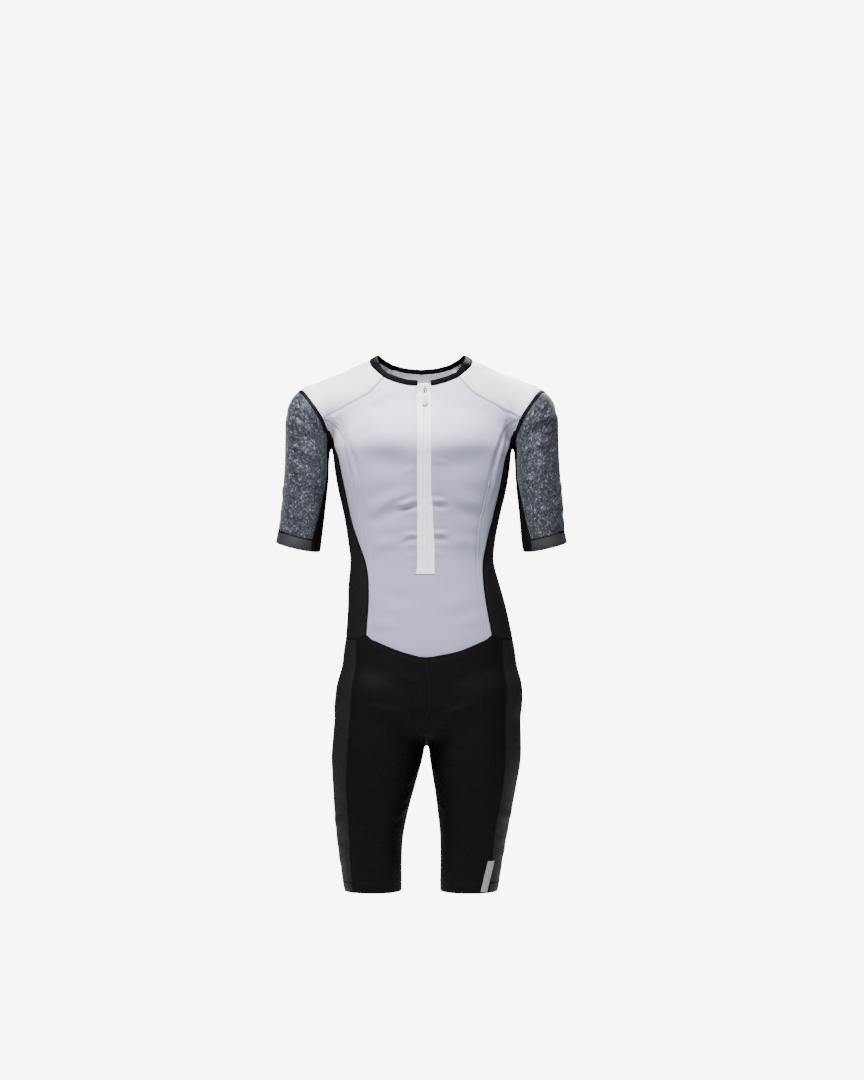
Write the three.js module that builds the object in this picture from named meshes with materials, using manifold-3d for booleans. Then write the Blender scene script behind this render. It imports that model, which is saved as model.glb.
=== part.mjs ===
// Short-sleeved triathlon suit with a front zip, filled out as it is worn, with nobody in it.
// Millimetres, +Z up. The front faces -Y and the wearer's left side is towards +X.
// The origin is the middle of the neck base, level with the tops of the shoulders.
import * as THREE from "three";
import { mergeVertices } from "three/addons/utils/BufferGeometryUtils.js";
import Module from "manifold-3d";

// ---------- driving sizes ----------
const CLOTH = 1.6; // wall of every knitted panel
const SEAM_GAP = 0.3; // room between two pieces at a seam
const ZIP_X = -2; // the zip runs straight down, a little off the leaning body's middle
const ZIP_HALF = 12.2; // half the width of the slot that the zip fills
const ZIP_BOTTOM = -383;
const BINDING_HEIGHT = 10;
const BINDING_WALL = 2.2;
const ARMHOLE_BAND = 6.5;
const CUFF_HEIGHT = 21;
const SLIDER_Z = -57;
const TAB_LENGTH = 30;
const TAB_WIDTH = 11;
const TAB_TILT = -0.045; // the tab follows the zip over the chest
const HEM_Z = -954;
const CROTCH_Z = -693;

// ---------- smooth tables and curves ----------
// A value that follows table rows smoothly: cubic pieces with the slope of each row's neighbours.
function follow(stops, values, at) {
  const last = stops.length - 1;
  if (at <= stops[0]) return values[0];
  if (at >= stops[last]) return values[last];
  let i = 0;
  while (at > stops[i + 1]) i++;
  const slope = (k) => {
    const a = Math.max(0, k - 1);
    const b = Math.min(last, k + 1);
    return (values[b] - values[a]) / (stops[b] - stops[a]);
  };
  const step = stops[i + 1] - stops[i];
  const t = (at - stops[i]) / step;
  const rise = t * t * (3 - 2 * t);
  const start = t * (1 - t) * (1 - t) * step * slope(i);
  const end = -t * t * (1 - t) * step * slope(i + 1);
  return values[i] * (1 - rise) + values[i + 1] * rise + start + end;
}

// A table with named columns, read at any height. The first column is the height, lowest first.
function table(columns, rows) {
  const stops = rows.map((row) => row[0]);
  const read = {};
  columns.slice(1).forEach((name, k) => {
    const values = rows.map((row) => row[k + 1]);
    read[name] = (height) => follow(stops, values, height);
  });
  return read;
}

// ---------- the general figure that fills the suit ----------
const LEAN = table(
  ["height", "middle"],
  [
    [-954, -8],
    [-864, -7],
    [-720, 1],
    [-640, 4],
    [-580, 7],
    [-500, 6.5],
    [-450, 3],
    [-400, -3],
    [-350, -7],
    [-250, -6],
    [-100, -7],
    [10, -8],
  ],
);
const TORSO = table(
  ["height", "halfWidth", "front", "back"],
  [
    [-690, 167, 92, 112],
    [-612, 163, 96, 121],
    [-540, 156, 97, 118],
    [-468, 146, 93, 104],
    [-414, 138, 89, 94],
    [-365, 129, 86, 88],
    [-342, 130, 86, 89],
    [-288, 139, 88, 95],
    [-234, 151, 93, 104],
    [-198, 157, 98, 107],
    [-176, 158.8, 102, 110],
    [-155, 160, 104, 110],
    [-130, 158, 100, 107],
    [-100, 154, 89, 98],
    [-60, 142, 69, 82],
    [-20, 104, 50, 66],
  ],
);
const NECK = table(
  ["height", "halfWidth", "front", "back"],
  [
    [-80, 84, 64, 66],
    [-20, 77, 58, 62],
    [40, 72, 52, 58],
  ],
);
const ARM = table(
  ["height", "centre", "halfWidth", "front", "back"],
  [
    [-350, 222.5, 39.5, 45, 45],
    [-306, 218, 40, 46, 46],
    [-216, 209.5, 40.5, 49, 48],
    [-180, 207.5, 39.8, 50, 49],
    [-126, 205, 41, 51, 50],
    [-92, 203, 42, 51, 50],
  ],
);
const LEG = table(
  ["height", "centre", "halfWidth", "front", "back"],
  [
    [-954, 87, 52, 58, 60],
    [-864, 92.8, 59.2, 68, 71],
    [-792, 92.5, 69.5, 78, 83],
    [-720, 89, 81, 87, 95],
    [-684, 87, 82.5, 90, 103],
    [-600, 84, 80, 92, 112],
  ],
);
const MIDDLE_ROUND = 4; // keeps the figure smooth where its two mirrored halves meet
const SHOULDER = {
  inner: { x: 40, y: 8, z: -47, round: 60, depth: 60 },
  outer: { x: 189, y: 3, z: -86, round: 42, depth: 50 },
};

// Below zero inside a round column whose width and depth follow a table, rounded off at its ends.
function column(x, y, z, shape, middle, squareness, ends) {
  const height = Math.min(Math.max(z, ends.low), ends.high);
  const past = z > height ? (z - height) / ends.highRound : (height - z) / ends.lowRound;
  const across = Math.abs(x - middle) / shape.halfWidth(height);
  const deep = y < ends.y ? shape.front(height) : shape.back(height);
  const along = Math.abs(y - ends.y) / deep;
  const out = (across ** squareness + along ** squareness + past ** squareness) ** (1 / squareness);
  const reach = Math.hypot(x - middle, y - ends.y, z - height) + 1e-9;
  return reach * (1 - 1 / (out + 1e-9));
}

function shoulder(x, y, z) {
  const { inner, outer } = SHOULDER;
  const run = outer.x - inner.x;
  const drop = outer.z - inner.z;
  const t = Math.min(Math.max(((x - inner.x) * run + (z - inner.z) * drop) / (run * run + drop * drop), 0), 1);
  const mix = (name) => inner[name] + (outer[name] - inner[name]) * t;
  const dx = x - mix("x");
  const dy = y - mix("y");
  const dz = z - mix("z");
  const out = Math.hypot(Math.hypot(dx, dz) / mix("round"), dy / mix("depth"));
  return Math.hypot(dx, dy, dz) * (1 - 1 / (out + 1e-9));
}

function join(a, b, blend) {
  const h = Math.max(blend - Math.abs(a - b), 0) / blend;
  return Math.min(a, b) - (h * h * blend) / 4;
}

function ramp(from, to, at) {
  const t = Math.min(Math.max((at - from) / (to - from), 0), 1);
  return t * t * (3 - 2 * t);
}

// Below zero inside the figure, zero on the cloth's outer face, about the distance in millimetres.
function figure(x, y, z) {
  const side = Math.hypot(x - LEAN.middle(z), MIDDLE_ROUND);
  const torso = column(side, y, z, TORSO, 0, 2.3, { y: 0, low: -612, lowRound: 70, high: -20, highRound: 22 });
  const neck = column(side, y, z, NECK, 0, 2, { y: 6, low: -80, lowRound: 30, high: 40, highRound: 30 });
  const arm = column(side, y, z, ARM, ARM.centre(z), 2.1, { y: 2, low: -360, lowRound: 40, high: -118, highRound: 51 });
  const leg = column(side, y, z, LEG, LEG.centre(z), 2.15, { y: 0, low: -980, lowRound: 50, high: -600, highRound: 60 });
  let body = join(torso, shoulder(side, y, z), 34);
  body = join(body, neck, 26);
  body = join(body, arm, 13 + 15 * ramp(-165, -95, z));
  return join(body, leg, 22);
}

function normalAt(p) {
  const e = 0.5;
  return new THREE.Vector3(
    figure(p.x + e, p.y, p.z) - figure(p.x - e, p.y, p.z),
    figure(p.x, p.y + e, p.z) - figure(p.x, p.y - e, p.z),
    figure(p.x, p.y, p.z + e) - figure(p.x, p.y, p.z - e),
  ).normalize();
}

// Moves a point square to the figure until it lies on it.
function settle(p) {
  const q = p.clone();
  for (let k = 0; k < 8; k++) q.addScaledVector(normalAt(q), -figure(q.x, q.y, q.z));
  return q;
}

// The point of the figure straight in front of (facing = -1) or behind (facing = 1) the middle plane.
function cast(x, z, facing) {
  let inside = 0;
  let outside = 220;
  for (let k = 0; k < 30; k++) {
    const half = (inside + outside) / 2;
    if (figure(x, facing * half, z) < 0) inside = half;
    else outside = half;
  }
  return new THREE.Vector3(x, facing * inside, z);
}

// The roof of the narrow cleft between sleeve and body, at a place from front to back.
function underArm(side, y) {
  const x = LEAN.middle(-165) + side * (163 + (y * y) / 420);
  let open = -235;
  let roof = -110;
  for (let k = 0; k < 30; k++) {
    const half = (open + roof) / 2;
    if (figure(x, y, half) < 0) roof = half;
    else open = half;
  }
  return new THREE.Vector3(x, y, roof);
}

// The same as cast, for a distance out from the body's leaning middle on one side of it.
function onFront(side, x, z) {
  return cast(LEAN.middle(z) + side * x, z, -1);
}

function onBack(side, x, z) {
  return cast(LEAN.middle(z) + side * x, z, 1);
}

function near(side, x, y, z) {
  return settle(new THREE.Vector3(LEAN.middle(z) + side * x, y, z));
}

// ---------- seams ----------
// A smooth line on the figure through a few points, cut into equal steps.
function line(points, steps) {
  const stops = [0];
  for (let k = 1; k < points.length; k++) stops.push(stops[k - 1] + points[k].distanceTo(points[k - 1]));
  const made = [];
  for (let k = 0; k <= steps; k++) {
    const at = (stops[stops.length - 1] * k) / steps;
    const read = (axis) => follow(stops, points.map((p) => p[axis]), at);
    made.push(k === 0 || k === steps ? points[k ? points.length - 1 : 0].clone() : settle(new THREE.Vector3(read("x"), read("y"), read("z"))));
  }
  return made;
}

// Lines laid end to end, without the doubled corners.
function chain(...lines) {
  return lines.reduce((all, next) => all.concat(all.length ? next.slice(1) : next), []);
}

const back = (points) => points.slice().reverse();

function seamsOf(side) {
  const zipEdge = (z) => cast(ZIP_X + side * ZIP_HALF, z, -1);
  const seams = {};
  // neckline, from the zip over the shoulder to the middle of the back
  const neckZip = zipEdge(-49);
  const neckYoke = onFront(side, 67, -33);
  const neckBackYoke = near(side, 54, 62, -15);
  seams.neckFront = line([neckZip, onFront(side, 27, -47), onFront(side, 48, -41), neckYoke], 5);
  seams.neckSide = line(
    [neckYoke, near(side, 81, -26, -18), near(side, 89, 8, 0), near(side, 76, 42, -4), neckBackYoke],
    8,
  );
  seams.neckBack = line([neckBackYoke, near(side, 30, 72, -20), near(1, 0, 76, -22)], 5);
  // armhole
  const holeYoke = onFront(side, 176, -106);
  const holeStrip = underArm(side, -31);
  const holeBackSide = underArm(side, 31);
  const holeBackYoke = onBack(side, 184, -100);
  seams.holeTop = line(
    [holeYoke, onFront(side, 195, -77), near(side, 210, -20, -60), near(side, 220, 6, -54), near(side, 208, 34, -64), holeBackYoke],
    8,
  );
  seams.holeFront = line([holeYoke, onFront(side, 167, -130), holeStrip], 2);
  seams.holeUnder = [-31, -21, -10, 0, 10, 21, 31].map((y) => underArm(side, y));
  seams.holeBack = line([holeBackSide, near(side, 170, 48, -128), holeBackYoke], 4);
  // yoke seams
  seams.yoke = line([neckYoke, onFront(side, 96, -62), onFront(side, 138, -85), holeYoke], 8);
  seams.backYoke = line([neckBackYoke, onBack(side, 92, -58), onBack(side, 140, -84), holeBackYoke], 8);
  // zip edge, in a chest and a belly stretch
  seams.zipChest = line([neckZip, zipEdge(-88), zipEdge(-128)], 8);
  seams.zipBelly = line([-128, -190, -260, -320, ZIP_BOTTOM].map(zipEdge), 9);
  // princess seam between front panel and side strip
  const princessTurn = onFront(side, 98.5, -375);
  const waistPrincess = onFront(side, 106, -505);
  seams.princessHigh = line(
    [holeYoke, onFront(side, 152, -122), onFront(side, 139, -150), onFront(side, 127, -190), onFront(side, 115, -245),
      onFront(side, 103, -300), onFront(side, 99, -340), princessTurn],
    9,
  );
  seams.princessLow = line([princessTurn, onFront(side, 100, -420), onFront(side, 103, -460), waistPrincess], 4);
  // seam between the side strip and the side panel
  const waistStrip = onFront(side, 118, -498);
  seams.strip = line(
    [holeStrip, onFront(side, 149, -182), onFront(side, 139, -234), onFront(side, 127, -288), onFront(side, 112, -340),
      onFront(side, 106, -378), onFront(side, 108, -425), waistStrip],
    13,
  );
  // seam between the side panel and the back
  const waistBackSide = onBack(side, 116, -486);
  seams.backSide = line(
    [holeBackSide, onBack(side, 144, -190), onBack(side, 130, -240), onBack(side, 110, -310), onBack(side, 100, -370),
      onBack(side, 106, -430), waistBackSide],
    13,
  );
  // row across the front panel level with the foot of the zip
  seams.zipFoot = line([zipEdge(ZIP_BOTTOM), onFront(side, 55, -380), princessTurn], 5);
  // waist seam
  const waistMiddle = cast(ZIP_X + 3, -533, -1);
  const waistSlot = cast(ZIP_X + side * ZIP_HALF + 3, -532, -1);
  const waistLegSide = onFront(side, 130, -500);
  const waistLegBack = onBack(side, 132, -492);
  const waistBack = cast(LEAN.middle(-462), -462, 1);
  seams.waistSlot = [waistMiddle, waistSlot];
  seams.waistFront = line([waistSlot, onFront(side, 54, -522), waistPrincess], 5);
  seams.waistStrip = line([waistPrincess, waistStrip], 2);
  seams.waistCorner = line([waistStrip, waistLegSide], 1);
  seams.waistSide = line([waistLegSide, near(side, 153, 0, -500), waistLegBack], 4);
  seams.waistBackCorner = line([waistLegBack, waistBackSide], 1);
  seams.waistBack = line([waistBackSide, onBack(side, 60, -470), waistBack], 5);
  // shorts: middle seams, inseam, and the two seams of the leg side panel
  const crotch = settle(new THREE.Vector3(LEAN.middle(CROTCH_Z), 8, CROTCH_Z));
  const centre = (z, facing) => cast(LEAN.middle(z), z, facing);
  const inner = (z) => near(side, LEG.centre(z) - LEG.halfWidth(z) + 1, 6, z);
  const legFront = (x, z) => onFront(side, x, z);
  const legBack = (x, z) => onBack(side, x, z);
  seams.centreFront = line(
    [waistMiddle, centre(-590, -1), centre(-640, -1), near(1, 0, -62, -680), near(1, 0, -30, -692), crotch],
    7,
  );
  seams.centreBack = line(
    [waistBack, centre(-530, 1), centre(-600, 1), centre(-650, 1), near(1, 0, 72, -685), near(1, 0, 38, -694), crotch],
    7,
  );
  seams.inseam = line([crotch, inner(-712), inner(-760), inner(-840), inner(-900), inner(HEM_Z)], 7);
  const sideKnee = legFront(140, CROTCH_Z - 8);
  const backKnee = legBack(134, CROTCH_Z - 8);
  seams.legFrontHigh = line([waistLegSide, legFront(136, -578), legFront(138, -635), sideKnee], 7);
  seams.legFrontLow = line([sideKnee, legFront(138, -770), legFront(129, -846), legFront(125, -905), legFront(121, HEM_Z)], 7);
  seams.legBackHigh = line([waistLegBack, legBack(138, -570), legBack(139, -640), backKnee], 7);
  seams.legBackLow = line([backKnee, legBack(133, -770), legBack(127, -846), legBack(122, -905), legBack(118, HEM_Z)], 7);
  const hem = (turn) => {
    const a = THREE.MathUtils.degToRad(turn);
    const y = Math.sin(a) * (a > 0 ? -LEG.front(HEM_Z) : -LEG.back(HEM_Z));
    return near(side, LEG.centre(HEM_Z) + Math.cos(a) * LEG.halfWidth(HEM_Z), y, HEM_Z);
  };
  const hemFrontSide = seams.legFrontLow[7];
  const hemBackSide = seams.legBackLow[7];
  const hemInner = seams.inseam[7];
  seams.hemFront = line([hemInner, hem(155), hem(125), hem(90), hem(70), hemFrontSide], 9);
  seams.hemSide = line([hemFrontSide, hem(25), hem(0), hem(-25), hemBackSide], 4);
  seams.hemBack = line([hemInner, hem(-150), hem(-120), hem(-90), hem(-70), hemBackSide], 6);
  return seams;
}

// ---------- patches ----------
// How far along its own length each point of a line lies, from 0 to 1.
function shares(points) {
  const run = [0];
  for (let k = 1; k < points.length; k++) run.push(run[k - 1] + points[k].distanceTo(points[k - 1]));
  return run.map((value) => value / run[run.length - 1]);
}

// Rows of points that fill four lines: top and bottom run the same way, and so do left and right.
function patch(top, bottom, left, right) {
  const rows = left.length - 1;
  const columns = top.length - 1;
  const [topShare, bottomShare, leftShare, rightShare] = [top, bottom, left, right].map(shares);
  const mix = (a, b, t) => a + (b - a) * t;
  const grid = [];
  for (let i = 0; i <= rows; i++) {
    const row = [];
    for (let j = 0; j <= columns; j++) {
      if (i === 0 || i === rows) {
        row.push((i ? bottom : top)[j]);
        continue;
      }
      if (j === 0 || j === columns) {
        row.push((j ? right : left)[i]);
        continue;
      }
      const u = mix(topShare[j], bottomShare[j], i / rows);
      const v = mix(leftShare[i], rightShare[i], j / columns);
      const point = new THREE.Vector3()
        .addScaledVector(top[j], 1 - v)
        .addScaledVector(bottom[j], v)
        .addScaledVector(left[i], 1 - u)
        .addScaledVector(right[i], u)
        .addScaledVector(top[0], -(1 - u) * (1 - v))
        .addScaledVector(top[columns], -u * (1 - v))
        .addScaledVector(bottom[0], -(1 - u) * v)
        .addScaledVector(bottom[columns], -u * v);
      row.push(settle(point));
    }
    grid.push(row);
  }
  return grid;
}

// ---------- walls ----------
// A closed wall from patches of one piece: its outer face stands "lift" off the points and its inner
// face "wall" deeper. Its free edges draw back by half a seam gap.
function wall(name, grids, material, options = {}) {
  const { thickness = CLOTH, lift = () => 0, gap = SEAM_GAP / 2 } = options;
  const keys = new Map();
  const points = [];
  const indexOf = (p) => {
    const key = [p.x, p.y, p.z].map((value) => Math.round(value * 100)).join();
    if (!keys.has(key)) {
      keys.set(key, points.length);
      points.push(p);
    }
    return keys.get(key);
  };
  const faces = [];
  for (const grid of grids) {
    const quads = [];
    let facing = 0;
    for (let i = 1; i < grid.length; i++) {
      for (let j = 1; j < grid[i].length; j++) {
        const corners = [grid[i - 1][j - 1], grid[i][j - 1], grid[i][j], grid[i - 1][j]];
        const across = corners[2].clone().sub(corners[0]).cross(corners[3].clone().sub(corners[1]));
        facing += across.dot(normalAt(corners[0]));
        quads.push(corners.map(indexOf));
      }
    }
    faces.push(...(facing < 0 ? quads.map(back) : quads));
  }
  const normals = points.map(normalAt);
  const edges = new Map();
  for (const face of faces) {
    face.forEach((a, k) => {
      const b = face[(k + 1) % 4];
      if (!edges.delete(b + "," + a)) edges.set(a + "," + b, [a, b]);
    });
  }
  const drawn = new Map();
  for (const [a, b] of edges.values()) {
    for (const k of [a, b]) {
      const inward = normals[k].clone().cross(points[b].clone().sub(points[a])).normalize();
      if (!drawn.has(k)) drawn.set(k, []);
      drawn.get(k).push(inward);
    }
  }
  const inset = (k) => {
    if (!drawn.has(k)) return new THREE.Vector3();
    const [first, second = first] = drawn.get(k);
    const sum = first.clone().add(second);
    return sum.multiplyScalar(gap / Math.max(1 + first.dot(second), 0.2));
  };
  const outer = points.map((p, k) => p.clone().add(inset(k)).addScaledVector(normals[k], lift(p)));
  const inner = outer.map((p, k) => p.clone().addScaledVector(normals[k], -thickness));
  const count = points.length;
  const triangles = [];
  const quad = (a, b, c, d) => triangles.push(a, b, c, a, c, d);
  for (const [a, b, c, d] of faces) {
    quad(a, b, c, d);
    quad(count + d, count + c, count + b, count + a);
  }
  for (const [a, b] of edges.values()) {
    // neighbours cut their shared side from the same corner, so twisted sides can't cross
    if (points[a].z > points[b].z) quad(a, count + a, count + b, b);
    else quad(b, a, count + a, count + b);
  }
  return meshOf(name, outer.concat(inner), triangles, material);
}

function meshOf(name, points, triangles, material) {
  const geometry = new THREE.BufferGeometry();
  geometry.setAttribute("position", new THREE.Float32BufferAttribute(points.flatMap((p) => [p.x, p.y, p.z]), 3));
  geometry.setIndex(triangles);
  const mesh = new THREE.Mesh(geometry, material);
  mesh.name = name;
  return mesh;
}

// ---------- finishes ----------
const finish = (color, roughness, metalness = 0) => new THREE.MeshStandardMaterial({ color, roughness, metalness });
const WHITE_KNIT = finish(0xdcdde8, 0.55);
const BLACK_KNIT = finish(0x121113, 0.6);
const CHARCOAL_KNIT = finish(0x29292b, 0.5);
const PRINTED_KNIT = finish(0x555b66, 0.6);
const CUFF_KNIT = finish(0x45484c, 0.6);
const TAPE = finish(0xe6e6ec, 0.5);
const REFLECTIVE = finish(0xb9bbbd, 0.35);
const METAL = finish(0x3a3b3e, 0.35, 0.9);
const RUBBER = finish(0xe9e9ee, 0.45);

// ---------- pieces ----------
const suit = new THREE.Group();
const SIDES = [
  { side: 1, tag: "left" },
  { side: -1, tag: "right" },
];

// The armhole as one ring, and the same ring moved along the sleeve by the width of the band.
function sleeveRings(side, seams) {
  const hole = chain(back(seams.holeFront), seams.holeTop, back(seams.holeBack), back(seams.holeUnder));
  const count = hole.length - 1;
  const outerRing = hole.map((p, k) => {
    const along = hole[(k + 1) % count].clone().sub(hole[(k - 1 + count) % count]);
    const step = along.cross(normalAt(p)).normalize();
    if (step.x * side < 0) step.negate();
    // in the cleft under the arm the band turns straight down the sleeve
    if (k > 14) step.set(side * 0.45, 0, -1);
    return settle(p.clone().addScaledVector(step, ARMHOLE_BAND));
  });
  outerRing[count] = outerRing[0];
  return { hole, outerRing };
}

// A point of the sleeve at a turn round the arm: 0 outwards, 90 to the front, 180 to the body.
function aroundArm(side, turn, z) {
  const a = THREE.MathUtils.degToRad(turn);
  const y = Math.sin(a) * (Math.sin(a) > 0 ? -ARM.front(z) : -ARM.back(z));
  return near(side, ARM.centre(z) + Math.cos(a) * ARM.halfWidth(z), y + 2, z);
}

// The sleeve's hem plane tips up on the outside and down at the front.
function aroundHem(side, turn, above) {
  const a = THREE.MathUtils.degToRad(turn);
  return aroundArm(side, turn, -335 + 9 * Math.cos(a) - 6 * Math.sin(a) + above);
}

function addSleeve(side, tag, seams) {
  const { hole, outerRing } = sleeveRings(side, seams);
  suit.add(wall("armhole_band_" + tag, [[hole, outerRing]], BLACK_KNIT));
  // the ring starts at the front strip: front, top, back, then under the arm
  const underFront = 19; // ring points where the under panel's two seams start
  const underBack = 15;
  const sleeveTop = outerRing.slice(0, underBack + 1);
  sleeveTop.unshift(outerRing[underFront]);
  const underTop = outerRing.slice(underBack, underFront + 1);
  const openTurn = 129; // the under panel's half reach at the hem is what is left of half a turn
  const hemLine = (above, from, to, steps) => {
    const made = [];
    for (let k = 0; k <= steps; k++) made.push(aroundHem(side, from + ((to - from) * k) / steps, above));
    return made;
  };
  const seamDown = (start, sign) =>
    line(
      [start, aroundArm(side, sign * 163, -205), aroundArm(side, sign * 150, -252), aroundArm(side, sign * 137, -300),
        aroundHem(side, sign * openTurn, CUFF_HEIGHT)],
      7,
    );
  const frontSeam = seamDown(outerRing[underFront], 1);
  const backSeam = seamDown(outerRing[underBack], -1);
  const steps = sleeveTop.length - 1;
  const cuffTop = hemLine(CUFF_HEIGHT, openTurn, -openTurn, steps);
  const cuffHem = hemLine(0, openTurn, -openTurn, steps);
  cuffTop[0] = frontSeam[7];
  cuffTop[steps] = backSeam[7];
  suit.add(wall("sleeve_" + tag, [patch(sleeveTop, cuffTop, frontSeam, backSeam)], PRINTED_KNIT));
  suit.add(wall("cuff_" + tag, [[cuffTop, cuffHem]], CUFF_KNIT));
  const underHem = hemLine(0, -openTurn, openTurn - 360, 4);
  const frontDown = frontSeam.concat([cuffHem[0]]);
  const backDown = backSeam.concat([cuffHem[steps]]);
  underHem[0] = cuffHem[steps];
  underHem[4] = cuffHem[0];
  suit.add(wall("sleeve_under_" + tag, [patch(underTop, underHem, backDown, frontDown)], BLACK_KNIT));
}

// Trim that lies on the front: rows of points down the middle line, at widths either side of the zip.
function onZip(across, from, to, rows) {
  const grid = [];
  for (let i = 0; i <= rows; i++) {
    const z = from + ((to - from) * i) / rows;
    grid.push(across(i / rows).map((x) => cast(ZIP_X + x, z, -1)));
  }
  return grid;
}

function addTorso(left, right) {
  for (const { tag } of SIDES) {
    const s = seams[tag];
    suit.add(wall("shoulder_" + tag, [patch(s.neckSide, s.holeTop, s.yoke, s.backYoke)], WHITE_KNIT));
    const princess = chain(s.princessHigh, s.princessLow);
    suit.add(wall("side_strip_" + tag, [patch(s.holeFront, s.waistStrip, princess, s.strip)], WHITE_KNIT));
    const waist = chain(s.waistCorner, s.waistSide, s.waistBackCorner);
    suit.add(wall("side_panel_" + tag, [patch(s.holeUnder, waist, s.strip, s.backSide)], CHARCOAL_KNIT));
  }
  const besideZip = (s) =>
    patch(back(s.neckFront), back(s.zipFoot), chain(s.yoke, s.princessHigh), chain(s.zipChest, s.zipBelly));
  const footRow = chain(back(left.zipFoot), [left.zipFoot[0], cast(ZIP_X, ZIP_BOTTOM, -1), right.zipFoot[0]], right.zipFoot);
  const waistRow = chain(back(left.waistFront), back(left.waistSlot), right.waistSlot, right.waistFront);
  const belowZip = patch(footRow, waistRow, left.princessLow, right.princessLow);
  suit.add(wall("front_panel", [besideZip(left), besideZip(right), belowZip], WHITE_KNIT));
  const backTop = chain(left.neckBack, back(right.neckBack));
  const backWaist = chain(left.waistBack, back(right.waistBack));
  const backEdge = (s) => chain(s.backYoke, back(s.holeBack), s.backSide);
  suit.add(wall("back_panel", [patch(backTop, backWaist, backEdge(left), backEdge(right))], WHITE_KNIT));
}

function addShorts() {
  for (const { tag } of SIDES) {
    const s = seams[tag];
    const frontWaist = chain(s.waistSlot, s.waistFront, s.waistStrip, s.waistCorner);
    const frontInner = chain(s.centreFront, s.inseam);
    const frontOuter = chain(s.legFrontHigh, s.legFrontLow);
    suit.add(wall("shorts_front_" + tag, [patch(frontWaist, s.hemFront, frontInner, frontOuter)], BLACK_KNIT));
    const backWaist = chain(back(s.waistBack), back(s.waistBackCorner));
    const backInner = chain(s.centreBack, s.inseam);
    const backOuter = chain(s.legBackHigh, s.legBackLow);
    suit.add(wall("shorts_back_" + tag, [patch(backWaist, s.hemBack, backInner, backOuter)], BLACK_KNIT));
    suit.add(wall("leg_side_" + tag, [patch(s.waistSide, s.hemSide, frontOuter, backOuter)], CHARCOAL_KNIT));
  }
}

function addBinding() {
  const half = (s) => chain(s.neckFront, s.neckSide, s.neckBack);
  const edge = chain(half(seams.left), back(half(seams.right)));
  const last = edge.length - 1;
  const top = edge.map((p, k) => {
    const along = edge[Math.min(k + 1, last)].clone().sub(edge[Math.max(k - 1, 0)]);
    const up = along.cross(normalAt(p)).normalize();
    if (up.z < 0) up.negate();
    return settle(p.clone().addScaledVector(up, BINDING_HEIGHT));
  });
  suit.add(wall("neck_binding", [[top, edge]], BLACK_KNIT, { thickness: BINDING_WALL, lift: () => 0.5 }));
}

function addZip() {
  const top = -49;
  for (const { side, tag } of SIDES) {
    const s = seams[tag];
    const edge = chain(s.zipChest, s.zipBelly);
    const middle = edge.map((p) => cast(ZIP_X, p.z, -1));
    const grid = edge.map((p, k) => [middle[k], p]);
    suit.add(wall("zip_tape_" + tag, [grid], TAPE));
  }
  const chainHalf = 2.8;
  const behind = { thickness: 1.6, lift: () => -CLOTH - 0.6 };
  const rows = chain(seams.left.zipChest, seams.left.zipBelly).slice(1, -1);
  const chainGrid = rows.map((p) => [cast(ZIP_X - chainHalf, p.z, -1), cast(ZIP_X + chainHalf, p.z, -1)]);
  suit.add(wall("zip_chain", [chainGrid], TAPE, behind));
  const over = { thickness: 0.8, lift: () => 0.8 + SEAM_GAP };
  const stopWidth = (share) => [-1, -0.4, 0.4, 1].map((x) => x * (15 + 3 * share) + 1);
  suit.add(wall("zip_foot_patch", [onZip(stopWidth, ZIP_BOTTOM + 12, ZIP_BOTTOM - 1, 2)], TAPE, over));
}

// A plate with its outline in the zip's plane: x across, y up the zip, z out of the cloth.
function plate(outline, bottom, thickness, holes = []) {
  const shape = new THREE.Shape(outline.map(([x, y]) => new THREE.Vector2(x, y)));
  holes.forEach((hole) => shape.holes.push(new THREE.Path(hole.map(([x, y]) => new THREE.Vector2(x, y)))));
  return new THREE.ExtrudeGeometry(shape, { depth: thickness, bevelEnabled: false }).translate(0, 0, bottom);
}

// Two overlapping solids as one.
function fuse(wasm, first, second) {
  const [a, b] = [first, second].map((geometry) => {
    geometry.deleteAttribute("normal");
    geometry.deleteAttribute("uv");
    const merged = mergeVertices(geometry, 1e-3);
    const vertProperties = merged.attributes.position.array;
    const triVerts = new Uint32Array(merged.index.array);
    return new wasm.Manifold(new wasm.Mesh({ numProp: 3, vertProperties, triVerts }));
  });
  const made = a.add(b).getMesh();
  const geometry = new THREE.BufferGeometry();
  geometry.setAttribute("position", new THREE.BufferAttribute(made.vertProperties, 3));
  return geometry.setIndex(new THREE.BufferAttribute(made.triVerts, 1));
}

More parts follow.
